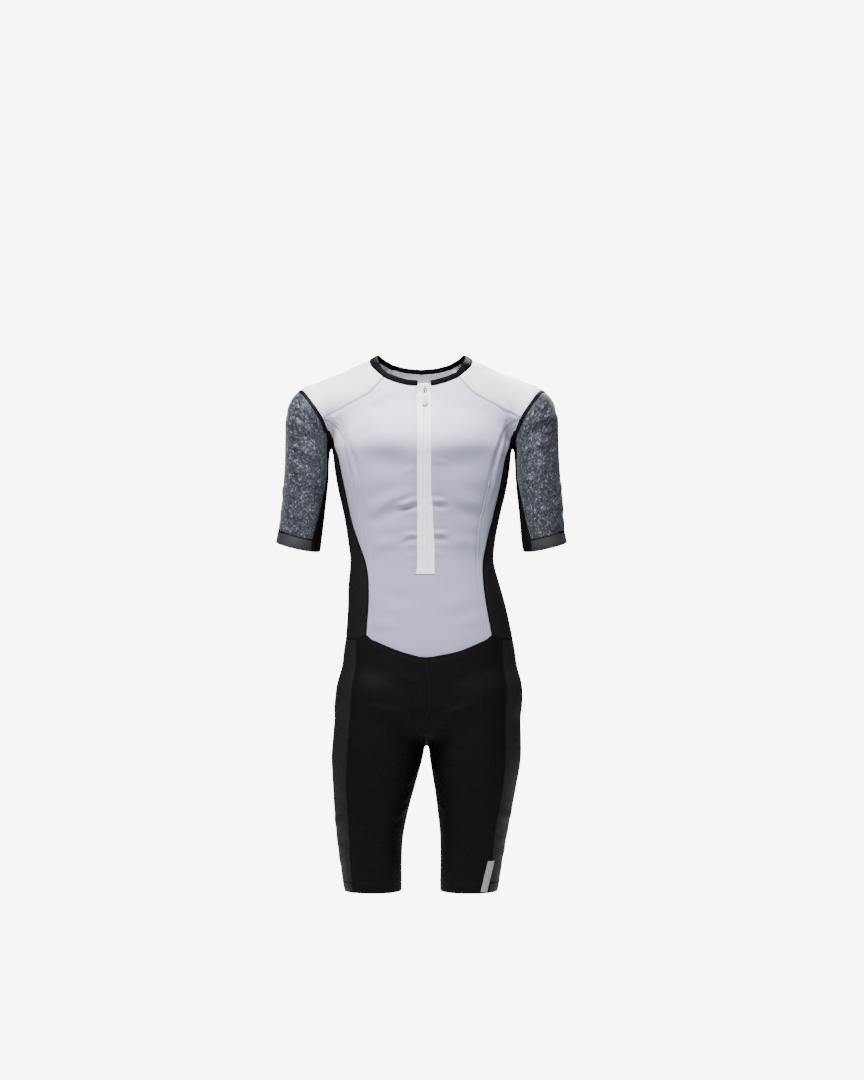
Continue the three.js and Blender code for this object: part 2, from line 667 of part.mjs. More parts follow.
// The slider near the top of the zip, and the pull tab that hangs from its bail and lies down the zip.
async function addSlider() {
  const wasm = await Module();
  wasm.setup();
  const place = cast(ZIP_X, SLIDER_Z, -1);
  const out = normalAt(place).setX(0).normalize();
  const up = new THREE.Vector3(0, out.z, -out.y);
  const frame = new THREE.Group();
  frame.applyMatrix4(new THREE.Matrix4().makeBasis(new THREE.Vector3(1, 0, 0), up, out).setPosition(place));
  const body = plate([[-2.6, -5], [2.6, -5], [3.4, -3.5], [4.2, 3], [3.2, 5], [-3.2, 5], [-4.2, 3], [-3.4, -3.5]], 0.4, 1.8);
  const arch = [[-3.9, 2], [-3.9, 4.4], [-3, 5.4], [3, 5.4], [3.9, 4.4], [3.9, 2], [2.4, 2], [2.4, 4.2], [-2.4, 4.2], [-2.4, 2]];
  // the arch stands across the plate: its outline turns from (x, y) to (up the zip, out of the cloth)
  const bail = plate(arch, -1, 2).applyMatrix4(
    new THREE.Matrix4().makeBasis(new THREE.Vector3(0, 1, 0), new THREE.Vector3(0, 0, 1), new THREE.Vector3(1, 0, 0)),
  );
  const slider = new THREE.Mesh(fuse(wasm, body, bail), METAL);
  slider.name = "zip_slider";
  const end = [];
  for (let k = 0; k <= 8; k++) {
    const a = Math.PI * (1 + k / 8);
    end.push([TAB_WIDTH / 2 * Math.cos(a), -TAB_LENGTH + TAB_WIDTH / 2 + TAB_WIDTH / 2 * Math.sin(a)]);
  }
  const outline = [[3.2, 0.6], [-3.2, 0.6], [-3.2, -8], [-TAB_WIDTH / 2, -13], ...end, [TAB_WIDTH / 2, -13], [3.2, -8]];
  const eye = [[-1.5, -0.6], [1.5, -0.6], [1.5, -7.8], [-1.5, -7.8]];
  const tab = new THREE.Mesh(plate(outline, -0.6, 1.2, [eye]), RUBBER);
  tab.name = "pull_tab";
  tab.position.set(0, -1.2, 3.35);
  tab.rotation.x = TAB_TILT;
  frame.add(slider, tab);
  suit.add(frame);
}

// A small flat strip near the hem of the left leg, and the cloth stop above the slider.
function addTrim() {
  const strip = [];
  for (let i = 0; i <= 4; i++) {
    const x = 117 - (13 * i) / 4;
    const z = -896 - (55 * i) / 4;
    strip.push([cast(x - 6, z, -1), cast(x, z, -1), cast(x + 6, z, -1)]);
  }
  suit.add(wall("reflective_strip", [strip], REFLECTIVE, { thickness: 0.6, lift: () => 0.6 + SEAM_GAP }));
  const stop = onZip(() => [-11.5, -5, 2, 9], -40.5, -48.7, 1);
  suit.add(wall("zip_garage", [stop], TAPE, { lift: () => 0.6 }));
}

const seams = { left: seamsOf(1), right: seamsOf(-1) };
addTorso(seams.left, seams.right);
addShorts();
for (const { side, tag } of SIDES) addSleeve(side, tag, seams[tag]);
addBinding();
addZip();
addTrim();
await addSlider();

export default suit;
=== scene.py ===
"""A short-sleeved triathlon suit with a front zip, filled out as it is worn, with nobody in it.

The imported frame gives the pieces, their places and the zip's joint. Lengths in the tables are in
millimetres in the frame's axes: +X to the wearer's left, -Y to the front, +Z up. They are turned
into metres where a mesh is made.
"""
import math

import bmesh
import bpy
import numpy as np
from mathutils import Matrix, Vector


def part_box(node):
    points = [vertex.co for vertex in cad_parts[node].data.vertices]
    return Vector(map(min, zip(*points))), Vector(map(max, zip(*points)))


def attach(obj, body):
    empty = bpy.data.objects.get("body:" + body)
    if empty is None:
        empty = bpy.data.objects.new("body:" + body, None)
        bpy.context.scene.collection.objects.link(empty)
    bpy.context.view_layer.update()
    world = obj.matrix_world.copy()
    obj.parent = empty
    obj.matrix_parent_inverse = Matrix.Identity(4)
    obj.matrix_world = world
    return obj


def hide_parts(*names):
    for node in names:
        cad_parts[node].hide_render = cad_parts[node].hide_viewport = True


MM = 0.001
SIDES = (("left", 1), ("right", -1))

# ---------- the cut ----------
FINE = 8  # how many steps of the shown cloth lie along one step of the plain frame
CLOTH = 1.1
ZIP_X = -2.0
ZIP_HALF = 12.2
ZIP_BOTTOM = -383.0
SLIDER_Z = -57.0
BINDING_HEIGHT = 10.0
ARMHOLE_BAND = 6.5
CUFF_HEIGHT = 21.0
HEM_Z = -954.0
CROTCH_Z = -693.0


# ---------- smooth tables ----------
def follow(stops, values, at):
    """Values that follow table rows smoothly, each row with the slope of its neighbours."""
    stops = np.asarray(stops, float)
    values = np.asarray(values, float)
    last = len(stops) - 1
    before = np.maximum(np.arange(last + 1) - 1, 0)
    after = np.minimum(np.arange(last + 1) + 1, last)
    slopes = (values[after] - values[before]) / (stops[after] - stops[before])
    at = np.clip(at, stops[0], stops[last])
    i = np.clip(np.searchsorted(stops, at, side="right") - 1, 0, last - 1)
    step = stops[i + 1] - stops[i]
    t = (at - stops[i]) / step
    rise = t * t * (3 - 2 * t)
    start = t * (1 - t) ** 2 * step * slopes[i]
    end = -t * t * (1 - t) * step * slopes[i + 1]
    return values[i] * (1 - rise) + values[i + 1] * rise + start + end


def table(columns, rows):
    """Named columns read at any height. The first column is the height, lowest first."""
    stops = [row[0] for row in rows]
    heights = np.arange(stops[0], stops[-1] + 1.0)

    def column_reader(k):
        values = follow(stops, [row[k] for row in rows], heights)
        return lambda height: np.interp(height, heights, values)

    return {name: column_reader(k) for k, name in enumerate(columns) if k}


# ---------- the general figure that fills the suit ----------
LEAN = table(
    ("height", "middle"),
    (
        (-954, -8), (-864, -7), (-720, 1), (-640, 4), (-580, 7), (-500, 6.5),
        (-450, 3), (-400, -3), (-350, -7), (-250, -6), (-100, -7), (10, -8),
    ),
)
TORSO = table(
    ("height", "half_width", "front", "back"),
    (
        (-690, 167, 92, 112),
        (-612, 163, 96, 121),
        (-540, 156, 97, 118),
        (-468, 146, 93, 104),
        (-414, 138, 89, 94),
        (-365, 129, 86, 88),
        (-342, 130, 86, 89),
        (-288, 139, 88, 95),
        (-234, 151, 93, 104),
        (-198, 157, 98, 107),
        (-176, 158.8, 102, 110),
        (-155, 160, 104, 110),
        (-130, 158, 100, 107),
        (-100, 154, 89, 98),
        (-60, 142, 69, 82),
        (-20, 104, 50, 66),
    ),
)
NECK = table(
    ("height", "half_width", "front", "back"),
    ((-80, 84, 64, 66), (-20, 77, 58, 62), (40, 72, 52, 58)),
)
ARM = table(
    ("height", "centre", "half_width", "front", "back"),
    (
        (-350, 222.5, 39.5, 45, 45),
        (-306, 218, 40, 46, 46),
        (-216, 209.5, 40.5, 49, 48),
        (-180, 207.5, 39.8, 50, 49),
        (-126, 205, 41, 51, 50),
        (-92, 203, 42, 51, 50),
    ),
)
LEG = table(
    ("height", "centre", "half_width", "front", "back"),
    (
        (-954, 87, 52, 58, 60),
        (-864, 92.8, 59.2, 68, 71),
        (-792, 92.5, 69.5, 78, 83),
        (-720, 89, 81, 87, 95),
        (-684, 87, 82.5, 90, 103),
        (-600, 84, 80, 92, 112),
    ),
)
SHOULDER_INNER = dict(x=40, y=8, z=-47, round=60, depth=60)
SHOULDER_OUTER = dict(x=189, y=3, z=-86, round=42, depth=50)
MIDDLE_ROUND = 4.0  # keeps the figure smooth where its two mirrored halves meet


def middle(z):
    return LEAN["middle"](z)


def column(x, y, z, shape, centre, square, y_mid, low, low_round, high, high_round):
    """Below zero inside a round column that follows a table and is rounded off at its ends."""
    height = np.clip(z, low, high)
    past = np.where(z > height, (z - height) / high_round, (height - z) / low_round)
    across = np.abs(x - centre) / shape["half_width"](height)
    deep = np.where(y < y_mid, shape["front"](height), shape["back"](height))
    along = np.abs(y - y_mid) / deep
    out = (across**square + along**square + past**square) ** (1 / square)
    reach = np.sqrt((x - centre) ** 2 + (y - y_mid) ** 2 + (z - height) ** 2) + 1e-9
    return reach * (1 - 1 / (out + 1e-9))


def shoulder(x, y, z):
    a, b = SHOULDER_INNER, SHOULDER_OUTER
    run = b["x"] - a["x"]
    drop = b["z"] - a["z"]
    t = np.clip(((x - a["x"]) * run + (z - a["z"]) * drop) / (run * run + drop * drop), 0, 1)
    at = {name: a[name] + (b[name] - a[name]) * t for name in a}
    dx, dy, dz = x - at["x"], y - at["y"], z - at["z"]
    out = np.sqrt((dx**2 + dz**2) / at["round"] ** 2 + (dy / at["depth"]) ** 2)
    return np.sqrt(dx**2 + dy**2 + dz**2) * (1 - 1 / (out + 1e-9))


def join(a, b, blend):
    h = np.maximum(blend - np.abs(a - b), 0) / blend
    return np.minimum(a, b) - h * h * blend / 4


def ramp(start, end, at):
    t = np.clip((at - start) / (end - start), 0, 1)
    return t * t * (3 - 2 * t)


def figure(points):
    """Below zero inside the figure, zero on the cloth's outer face, about the distance in mm."""
    x, y, z = points[..., 0], points[..., 1], points[..., 2]
    side = np.sqrt((x - middle(z)) ** 2 + MIDDLE_ROUND**2)
    torso = column(side, y, z, TORSO, 0, 2.3, 0, -612, 70, -20, 22)
    neck = column(side, y, z, NECK, 0, 2, 6, -80, 30, 40, 30)
    arm = column(side, y, z, ARM, ARM["centre"](z), 2.1, 2, -360, 40, -118, 51)
    leg = column(side, y, z, LEG, LEG["centre"](z), 2.15, 0, -980, 50, -600, 60)
    body = join(torso, shoulder(side, y, z), 34)
    body = join(body, neck, 26)
    body = join(body, arm, 13 + 15 * ramp(-165, -95, z))
    return join(body, leg, 22)


def normals_at(points):
    steps = np.eye(3) * 0.5
    slope = np.stack([figure(points + s) - figure(points - s) for s in steps], axis=-1)
    return slope / np.linalg.norm(slope, axis=-1, keepdims=True)


def settle(points, rounds=7):
    """Moves points square to the figure until they lie on it."""
    points = np.array(points, float)
    for _ in range(rounds):
        points = points - normals_at(points) * figure(points)[..., None]
    return points


def cast(x, z, facing):
    """The places of the figure straight in front of (facing -1) or behind (1) the middle plane."""
    x, z = np.broadcast_arrays(np.asarray(x, float), np.asarray(z, float))
    inside = np.zeros(x.shape)
    outside = np.full(x.shape, 220.0)
    for _ in range(26):
        half = (inside + outside) / 2
        within = figure(np.stack([x, facing * half, z], axis=-1)) < 0
        inside = np.where(within, half, inside)
        outside = np.where(within, outside, half)
    return np.stack([x, facing * inside, z], axis=-1)


def under_arm(side, y):
    """The roof of the narrow cleft between sleeve and body, at places from front to back."""
    y = np.asarray(y, float)
    x = middle(-165) + side * (163 + y * y / 420)
    lower, roof = np.full(y.shape, -235.0), np.full(y.shape, -110.0)
    for _ in range(26):
        half = (lower + roof) / 2
        within = figure(np.stack([x, y, half], axis=-1)) < 0
        roof = np.where(within, half, roof)
        lower = np.where(within, lower, half)
    return np.stack([x, y, roof], axis=-1)


# ---------- seams ----------
def line(points, steps):
    """A smooth line on the figure through a few points, cut into equal steps."""
    points = np.array(points, float)
    stops = np.concatenate([[0], np.cumsum(np.linalg.norm(np.diff(points, axis=0), axis=1))])
    at = np.linspace(0, stops[-1], steps * FINE + 1)
    made = settle(np.stack([follow(stops, points[:, k], at) for k in range(3)], axis=-1))
    made[0], made[-1] = points[0], points[-1]
    return made


def chain(*lines):
    """Lines laid end to end, without the doubled corners."""
    return np.concatenate([lines[0]] + [more[1:] for more in lines[1:]])


def seams_of(side):
    def front(x, z):
        return cast(middle(z) + side * x, z, -1)

    def back(x, z):
        return cast(middle(z) + side * x, z, 1)

    def near(x, y, z):
        return settle(np.array([middle(z) + side * x, y, z]))

    def centre(z, facing):
        return cast(middle(z), z, facing)

    def zip_edge(z):
        return cast(ZIP_X + side * ZIP_HALF, z, -1)

    s = {}
    # neckline, from the zip over the shoulder to the middle of the back
    neck_zip, neck_yoke, neck_back_yoke = zip_edge(-49), front(67, -33), near(54, 62, -15)
    s["neck_front"] = line([neck_zip, front(27, -47), front(48, -41), neck_yoke], 5)
    s["neck_side"] = line(
        [neck_yoke, near(81, -26, -18), near(89, 8, 0), near(76, 42, -4), neck_back_yoke], 8
    )
    s["neck_back"] = line([neck_back_yoke, near(30, 72, -20), near(0, 76, -22)], 5)
    # armhole
    hole_yoke, hole_back_yoke = front(176, -106), back(184, -100)
    hole_strip, hole_back_side = front(167, -130), under_arm(side, 31)
    s["hole_top"] = line(
        [hole_yoke, front(195, -77), near(210, -20, -60), near(220, 6, -54), near(208, 34, -64),
         hole_back_yoke], 8
    )
    cleft = under_arm(side, np.linspace(-31, 31, 6 * FINE + 1))
    whole_front = line([hole_yoke, hole_strip, cleft[0]], 2)
    s["hole_front"] = whole_front[:FINE + 1]
    s["hole_under"] = chain(whole_front[FINE:], cleft)
    s["hole_back"] = line([hole_back_side, near(170, 48, -128), hole_back_yoke], 4)
    # yoke seams
    s["yoke"] = line([neck_yoke, front(96, -62), front(138, -85), hole_yoke], 8)
    s["back_yoke"] = line([neck_back_yoke, back(92, -58), back(140, -84), hole_back_yoke], 8)
    # zip edge, in a chest and a belly stretch
    s["zip_chest"] = line([neck_zip, zip_edge(-88), zip_edge(-128)], 8)
    s["zip_belly"] = line([zip_edge(z) for z in (-128, -190, -260, -320, ZIP_BOTTOM)], 9)
    # princess seam between front panel and side strip
    princess_turn, waist_princess = front(96 + 4 * side, -375), front(103.5, -502)
    s["princess_high"] = line(
        [hole_yoke, front(152, -122), front(139, -150), front(127, -190), front(115, -245),
         front(103 + side, -300), front(98 + 3 * side, -340), princess_turn], 9
    )
    s["princess_low"] = line(
        [princess_turn, front(97 + 2 * side, -420), front(100.5, -460), waist_princess], 4
    )
    # seam between the side strip and the side panel
    waist_strip = front(113.5, -493.5)
    s["strip"] = line(
        [hole_strip, front(159, -150), front(150, -178), front(139, -234), front(127, -288),
         front(112 + 2.5 * side, -340), front(104 + 4.5 * side, -378), front(105 + 2.5 * side, -425),
         waist_strip], 13
    )
    # seam between the side panel and the back
    waist_back_side = back(116, -486)
    s["back_side"] = line(
        [hole_back_side, back(144, -190), back(130, -240), back(110, -310), back(100, -370),
         back(106, -430), waist_back_side], 13
    )
    # row across the front panel level with the foot of the zip
    s["zip_foot"] = line([zip_edge(ZIP_BOTTOM), front(55, -380), princess_turn], 5)
    # waist seam
    waist_middle = cast(ZIP_X + 3, -533, -1)
    waist_slot = cast(ZIP_X + side * ZIP_HALF + 3, -532, -1)
    waist_leg_side, waist_leg_back = front(130, -500), back(132, -492)
    waist_back = cast(middle(-462), -462, 1)
    s["waist_slot"] = line([waist_middle, waist_slot], 1)
    s["waist_front"] = line([waist_slot, front(54, -522), waist_princess], 5)
    s["waist_strip"] = line([waist_princess, waist_strip], 1)
    s["waist_corner"] = line([waist_strip, waist_leg_side], 2)
    s["waist_side"] = line([waist_leg_side, near(153, 0, -500), waist_leg_back], 4)
    s["waist_back_corner"] = line([waist_leg_back, waist_back_side], 1)
    s["waist_back"] = line([waist_back_side, back(60, -470), waist_back], 5)
    # shorts: middle seams, inseam, and the two seams of the leg side panel
    crotch = settle(np.array([middle(CROTCH_Z), 8, CROTCH_Z]))

    def inner(z):
        return near(LEG["centre"](z) - LEG["half_width"](z) + 1, 6, z)

    s["centre_front"] = line(
        [waist_middle, centre(-590, -1), centre(-640, -1), near(0, -62, -680), near(0, -30, -692),
         crotch], 7
    )
    s["centre_back"] = line(
        [waist_back, centre(-530, 1), centre(-600, 1), centre(-650, 1), near(0, 72, -685),
         near(0, 38, -694), crotch], 7
    )
    s["inseam"] = line([crotch] + [inner(z) for z in (-712, -760, -840, -900, HEM_Z)], 7)
    side_knee, back_knee = front(140, CROTCH_Z - 8), back(134, CROTCH_Z - 8)
    s["leg_front_high"] = line([waist_leg_side, front(136, -578), front(138, -635), side_knee], 7)
    s["leg_front_low"] = line(
        [side_knee, front(138, -770), front(129, -846), front(125, -905), front(121, HEM_Z)], 7
    )
    s["leg_back_high"] = line([waist_leg_back, back(138, -570), back(139, -640), back_knee], 7)
    s["leg_back_low"] = line(
        [back_knee, back(133, -770), back(127, -846), back(122, -905), back(118, HEM_Z)], 7
    )

    def hem(turn):
        a = math.radians(turn)
        deep = -LEG["front"](HEM_Z) if turn > 0 else -LEG["back"](HEM_Z)
        return near(LEG["centre"](HEM_Z) + math.cos(a) * LEG["half_width"](HEM_Z), math.sin(a) * deep, HEM_Z)

    hem_inner, hem_front, hem_back = s["inseam"][-1], s["leg_front_low"][-1], s["leg_back_low"][-1]
    s["hem_front"] = line([hem_inner, hem(155), hem(125), hem(90), hem(70), hem_front], 9)
    s["hem_side"] = line([hem_front, hem(25), hem(0), hem(-25), hem_back], 4)
    s["hem_back"] = line([hem_inner, hem(-150), hem(-120), hem(-90), hem(-70), hem_back], 6)
    return s


# ---------- patches ----------
def shares(points):
    run = np.concatenate([[0], np.cumsum(np.linalg.norm(np.diff(points, axis=0), axis=1))])
    return run / run[-1]


def patch(top, bottom, left, right):
    """Rows of points that fill four lines: top and bottom run the same way, as left and right do."""
    rows, columns = len(left) - 1, len(top) - 1
    i = np.linspace(0, 1, rows + 1)[:, None]
    j = np.linspace(0, 1, columns + 1)[None, :]
    u = (shares(top) * (1 - i) + shares(bottom) * i)[..., None]
    v = (shares(left)[:, None] * (1 - j) + shares(right)[:, None] * j)[..., None]
    grid = (
        top[None] * (1 - v) + bottom[None] * v + left[:, None] * (1 - u) + right[:, None] * u
        - top[0] * (1 - u) * (1 - v) - top[-1] * u * (1 - v)
        - bottom[0] * (1 - u) * v - bottom[-1] * u * v
    )
    grid = settle(grid)
    grid[0], grid[-1] = top, bottom
    grid[:, 0], grid[:, -1] = left, right
    return grid


def facing_out(grid):
    """The same rows, run so that their faces look out of the figure."""
    across = np.cross(grid[1:, 1:] - grid[:-1, :-1], grid[:-1, 1:] - grid[1:, :-1])
    outward = (across * normals_at(grid[:-1, :-1])).sum()
    return grid if outward > 0 else grid[:, ::-1]


# ---------- creases ----------
def on_body(facing, points):
    """A crease line on the front (facing -1) or back (1), from places across and up it."""
    x, z = np.array(points, float).T
    return cast(x, z, facing)


def around_limb(limb, y_mid, side, turn, z):
    a = np.radians(turn)
    deep = np.where(np.sin(a) > 0, -limb["front"](z), -limb["back"](z))
    x = limb["centre"](z) + np.cos(a) * limb["half_width"](z)
    return settle(np.stack([middle(z) + side * x, np.sin(a) * deep + y_mid, z + 0 * a], axis=-1))


def around_arm(side, turn, z):
    """A place on a sleeve: turn 0 is outside, 90 in front, 180 against the body, -90 behind."""
    return around_limb(ARM, 2, side, turn, z)


def around_leg(side, turn, z):
    """A place on a leg: turn 0 is outside, 90 in front, 180 between the legs, -90 behind."""
    return around_limb(LEG, 0, side, turn, z)


# each row: height of the fold in mm (below zero is a trough), half width in mm, and its line
FRONT_FOLDS = (
    # the fullness of the chest, and the slack just below it
    (1.8, 26, ((-112, -128), (-78, -134), (-42, -136), (-20, -134))),
    (1.8, 26, ((16, -134), (44, -137), (80, -133), (112, -124))),
    (-2.6, 24, ((-118, -176), (-84, -182), (-48, -184), (-22, -182))),
    (-2.4, 25, ((18, -182), (50, -186), (86, -182), (118, -172))),
    # short puckers where the zip shortens the cloth beside it
    (2.2, 4.6, ((-12, -254), (-24, -255), (-36, -260), (-50, -263))),
    (-1.5, 4.5, ((-12, -266), (-30, -269), (-46, -273))),
    (2.0, 4.0, ((10, -254), (22, -254), (35, -255))),
    (-1.3, 4.5, ((12, -264), (26, -265), (42, -266))),
    (1.9, 3.8, ((-12, -314), (-26, -314), (-37, -316))),
    (-1.2, 4.2, ((-14, -324), (-30, -326), (-44, -330))),
    (1.9, 3.9, ((12, -312), (26, -312), (39, -313))),
    (-1.2, 4.2, ((13, -323), (28, -323), (45, -326))),
    (0.7, 4.5, ((-15, -196), (-26, -199), (-41, -207))),
    (0.6, 4.5, ((12, -184), (27, -187), (38, -189))),
    (0.6, 4.0, ((-15, -351), (-24, -352), (-33, -355))),
    (0.7, 4.2, ((12, -346), (23, -348), (36, -353))),
    # the slack that gathers under the chest, across from the princess seams
    (1.5, 11, ((-96, -273), (-74, -258), (-48, -247), (-22, -243))),
    (-1.2, 12, ((-98, -292), (-76, -283), (-55, -277), (-34, -280))),
    (1.2, 12, ((98, -262), (78, -255), (52, -246))),
    (-1.0, 12, ((104, -283), (80, -280), (58, -272))),
    (1.0, 10, ((-94, -342), (-72, -330), (-50, -327))),
    (0.9, 10, ((92, -335), (70, -326), (44, -330))),
    # hollows in front of the armpits and the long drags that run down from them
    (-2.6, 11, ((-150, -118), (-148, -138), (-144, -160))),
    (-1.8, 10, ((152, -112), (149, -132), (142, -152))),
    (1.6, 5.5, ((-155, -92), (-160, -106), (-163, -122))),
    (1.6, 5.0, ((137, -84), (147, -95), (153, -108))),
    (1.1, 4.2, ((148, -126), (138, -158), (128, -192), (121, -218))),
    (-1.1, 4.6, ((141, -128), (131, -160), (123, -190), (116, -214))),
    (0.9, 4.4, ((131, -196), (121, -232), (113, -262), (108, -286))),
    (-0.8, 4.6, ((124, -226), (114, -262), (107, -288))),
    (0.9, 4.4, ((-143, -150), (-134, -178), (-126, -206), (-120, -226))),
    (-0.9, 4.8, ((-136, -156), (-127, -186), (-120, -212))),
    (0.8, 4.2, ((-127, -214), (-117, -246), (-109, -276), (-104, -300))),
    (-0.7, 4.6, ((-119, -236), (-110, -268), (-104, -292))),
    (0.8, 5.0, ((110, -300), (106, -338), (103, -372))),
    (0.7, 5.0, ((-106, -316), (-102, -350), (-103, -384))),
    # faint strain from the neck to the sleeve heads
    (0.8, 8, ((-58, -56), (-86, -74), (-112, -92))),
    (0.7, 9, ((40, -60), (72, -76), (108, -90))),
    (0.8, 12, ((-30, -96), (-66, -106), (-104, -112))),
    (0.7, 13, ((26, -104), (62, -112), (98, -120))),
    # belly and hips
    (-0.8, 12, ((-84, -410), (-52, -424), (-18, -430))),
    (0.7, 12, ((86, -420), (58, -436), (20, -442))),
    (0.7, 9, ((-98, -470), (-70, -476), (-44, -474))),
    (0.6, 9, ((98, -462), (66, -470))),
    # shorts front: light pulls that fan out from the crotch, and a few above the knee
    (1.1, 6, ((-14, -648), (-44, -632), (-78, -622), (-108, -620))),
    (-0.9, 7, ((-12, -662), (-40, -652), (-72, -645))),
    (1.1, 6, ((16, -642), (48, -628), (84, -615))),
    (-0.9, 7, ((18, -660), (46, -647), (80, -640))),
    (0.9, 7, ((-22, -696), (-52, -704), (-84, -702))),
    (0.9, 7, ((26, -698), (58, -709), (90, -706))),
    (0.7, 8, ((-120, -690), (-100, -722), (-86, -760))),
    (0.7, 8, ((124, -700), (106, -734), (94, -766))),
    (0.6, 8, ((-60, -560), (-30, -572), (0, -577))),
    (0.6, 8, ((70, -556), (36, -566))),
)
BACK_FOLDS = (
    # small of the back
    (1.5, 8, ((-70, -372), (-34, -381), (4, -383), (40, -377))),
    (-1.2, 9, ((-62, -390), (-24, -398), (22, -399), (58, -391))),
    (1.3, 8, ((-48, -410), (-8, -417), (34, -414), (72, -404))),
    (-0.9, 9, ((-36, -428), (6, -434), (44, -430))),
    (1.0, 7, ((-88, -346), (-58, -354), (-30, -356))),
    (0.9, 7, ((88, -352), (56, -361), (30, -362))),
    # from the armholes down to the middle
    (-1.4, 9, ((-142, -134), (-122, -162), (-98, -186))),
    (1.2, 7, ((-146, -152), (-124, -184), (-96, -214))),
    (-1.3, 9, ((146, -128), (124, -160), (96, -182))),
    (1.1, 7, ((148, -150), (128, -186), (104, -220))),
    (0.8, 9, ((-132, -206), (-112, -246), (-96, -290))),
    (0.8, 9, ((134, -198), (112, -240), (98, -282))),
    (0.7, 11, ((-52, -70), (-16, -78), (24, -77), (58, -68))),
    (-0.7, 12, ((-30, -140), (-8, -200), (-12, -262))),
    (0.6, 11, ((26, -120), (18, -184), (24, -246))),
    (0.8, 7, ((-96, -446), (-66, -452), (-36, -450))),
    (0.8, 7, ((98, -450), (64, -455))),
    # seat: pulls towards the middle seam and soft folds under it
    (0.9, 8, ((-112, -548), (-72, -566), (-30, -574))),
    (0.9, 8, ((114, -540), (78, -560), (34, -569))),
    (-1.2, 8, ((-16, -664), (-52, -674), (-92, -672))),
    (1.3, 7, ((-14, -684), (-50, -694), (-94, -690), (-122, -678))),
    (-1.2, 8, ((18, -668), (54, -679), (92, -675))),
    (1.2, 7, ((16, -690), (54, -700), (98, -694), (126, -684))),
    (0.9, 8, ((-30, -714), (-66, -726), (-104, -720))),
    (0.9, 8, ((32, -718), (70, -729), (100, -724))),
)
# sleeve and leg folds are given by turn about the limb and height
SLEEVE_FOLDS = (
    (1.5, 6, ((118, -124), (88, -112), (56, -106), (26, -104))),
    (-1.4, 6, ((124, -142), (92, -131), (62, -124))),
    (1.2, 6, ((132, -166), (100, -160), (74, -150), (46, -149))),
    (-1.0, 7, ((128, -186), (98, -182), (70, -172))),
    (1.0, 6, ((140, -214), (112, -216), (84, -206))),
    (0.9, 7, ((50, -232), (20, -226), (-14, -232))),
    (0.8, 7, ((118, -262), (86, -270), (58, -264))),
    (-0.8, 7, ((30, -274), (-2, -280), (-36, -272))),
    (1.4, 6, ((-118, -122), (-88, -112), (-54, -108), (-24, -102))),
    (-1.2, 6, ((-126, -144), (-96, -136), (-62, -131))),
    (1.1, 6, ((-134, -172), (-102, -168), (-76, -158))),
    (0.9, 7, ((-126, -216), (-96, -212), (-66, -220))),
    (0.8, 7, ((-112, -262), (-84, -256), (-52, -262))),
    (-0.9, 8, ((24, -84), (4, -92), (-18, -86))),
    (0.7, 8, ((70, -300), (40, -296), (10, -302))),
)
LEG_FOLDS = (
    (1.0, 7, ((168, -728), (140, -742), (112, -746))),
    (-0.9, 8, ((166, -752), (142, -768), (118, -772))),
    (0.9, 7, ((172, -784), (146, -800), (120, -802))),
    (0.8, 8, ((60, -806), (30, -818), (0, -812))),
    (-0.7, 9, ((96, -838), (66, -850), (34, -846))),
    (0.7, 7, ((150, -868), (120, -880), (92, -874))),
    (0.6, 8, ((-20, -872), (14, -884), (46, -882))),
    (1.0, 7, ((-168, -734), (-140, -750), (-112, -748))),
    (0.9, 8, ((-150, -800), (-118, -812), (-84, -806))),
    (-0.8, 9, ((-130, -846), (-98, -856), (-66, -852))),
    (0.8, 8, ((-60, -760), (-28, -774), (2, -770))),
    (0.7, 7, ((-160, -896), (-124, -906), (-92, -902))),
)
FOLD_STEP = 4.0  # a fold's line is read at places this far apart
FOLD_STRENGTH = 1.35


def read_fold(height, half_width, places):
    places = np.array(places, float)
    stops = np.concatenate([[0], np.cumsum(np.linalg.norm(np.diff(places, axis=0), axis=1))])
    at = np.linspace(0, stops[-1], max(4, int(stops[-1] / FOLD_STEP)))
    spine = np.stack([follow(stops, places[:, k], at) for k in range(3)], axis=-1)
    swell = np.sin(np.pi * (0.06 + 0.88 * at / stops[-1])) ** 0.8
    return height, half_width, spine, swell


def all_folds():
    folds = [read_fold(h, w, on_body(-1, places)) for h, w, places in FRONT_FOLDS]
    folds += [read_fold(h, w, on_body(1, places)) for h, w, places in BACK_FOLDS]
    for side, shift in ((1, 0), (-1, 9)):
        # the right side's folds sit a little lower and further round, so no two sides match
        for k, (h, w, places) in enumerate(SLEEVE_FOLDS):
            uneven = 1 + 0.22 * math.sin(2.3 * k + 4 * side)
            turn, z = np.array(places, float).T
            moved = around_arm(side, turn - 0.8 * shift, z - shift)
            folds.append(read_fold(h * uneven, w, moved))
        for k, (h, w, places) in enumerate(LEG_FOLDS):
            uneven = 1 + 0.25 * math.sin(1.9 * k + 3 * side)
            turn, z = np.array(places, float).T
            moved = around_leg(side, turn - shift, z - 1.4 * shift)
            folds.append(read_fold(h * uneven, w, moved))
    return folds


def waviness(points):
    """The slight unevenness of stretched cloth between its folds, in mm."""
    x, y, z = (points[:, k] / 100 for k in range(3))
    broad = np.sin(2.1 * x + 1.3 * z + 0.6) * np.sin(2.6 * z - 1.7 * y + 1.1)
    fine = np.sin(5.7 * x - 3.1 * y + 4.3 * z) * np.sin(4.9 * z + 2.2 * x + 0.4)
    return 0.45 * broad + 0.22 * fine


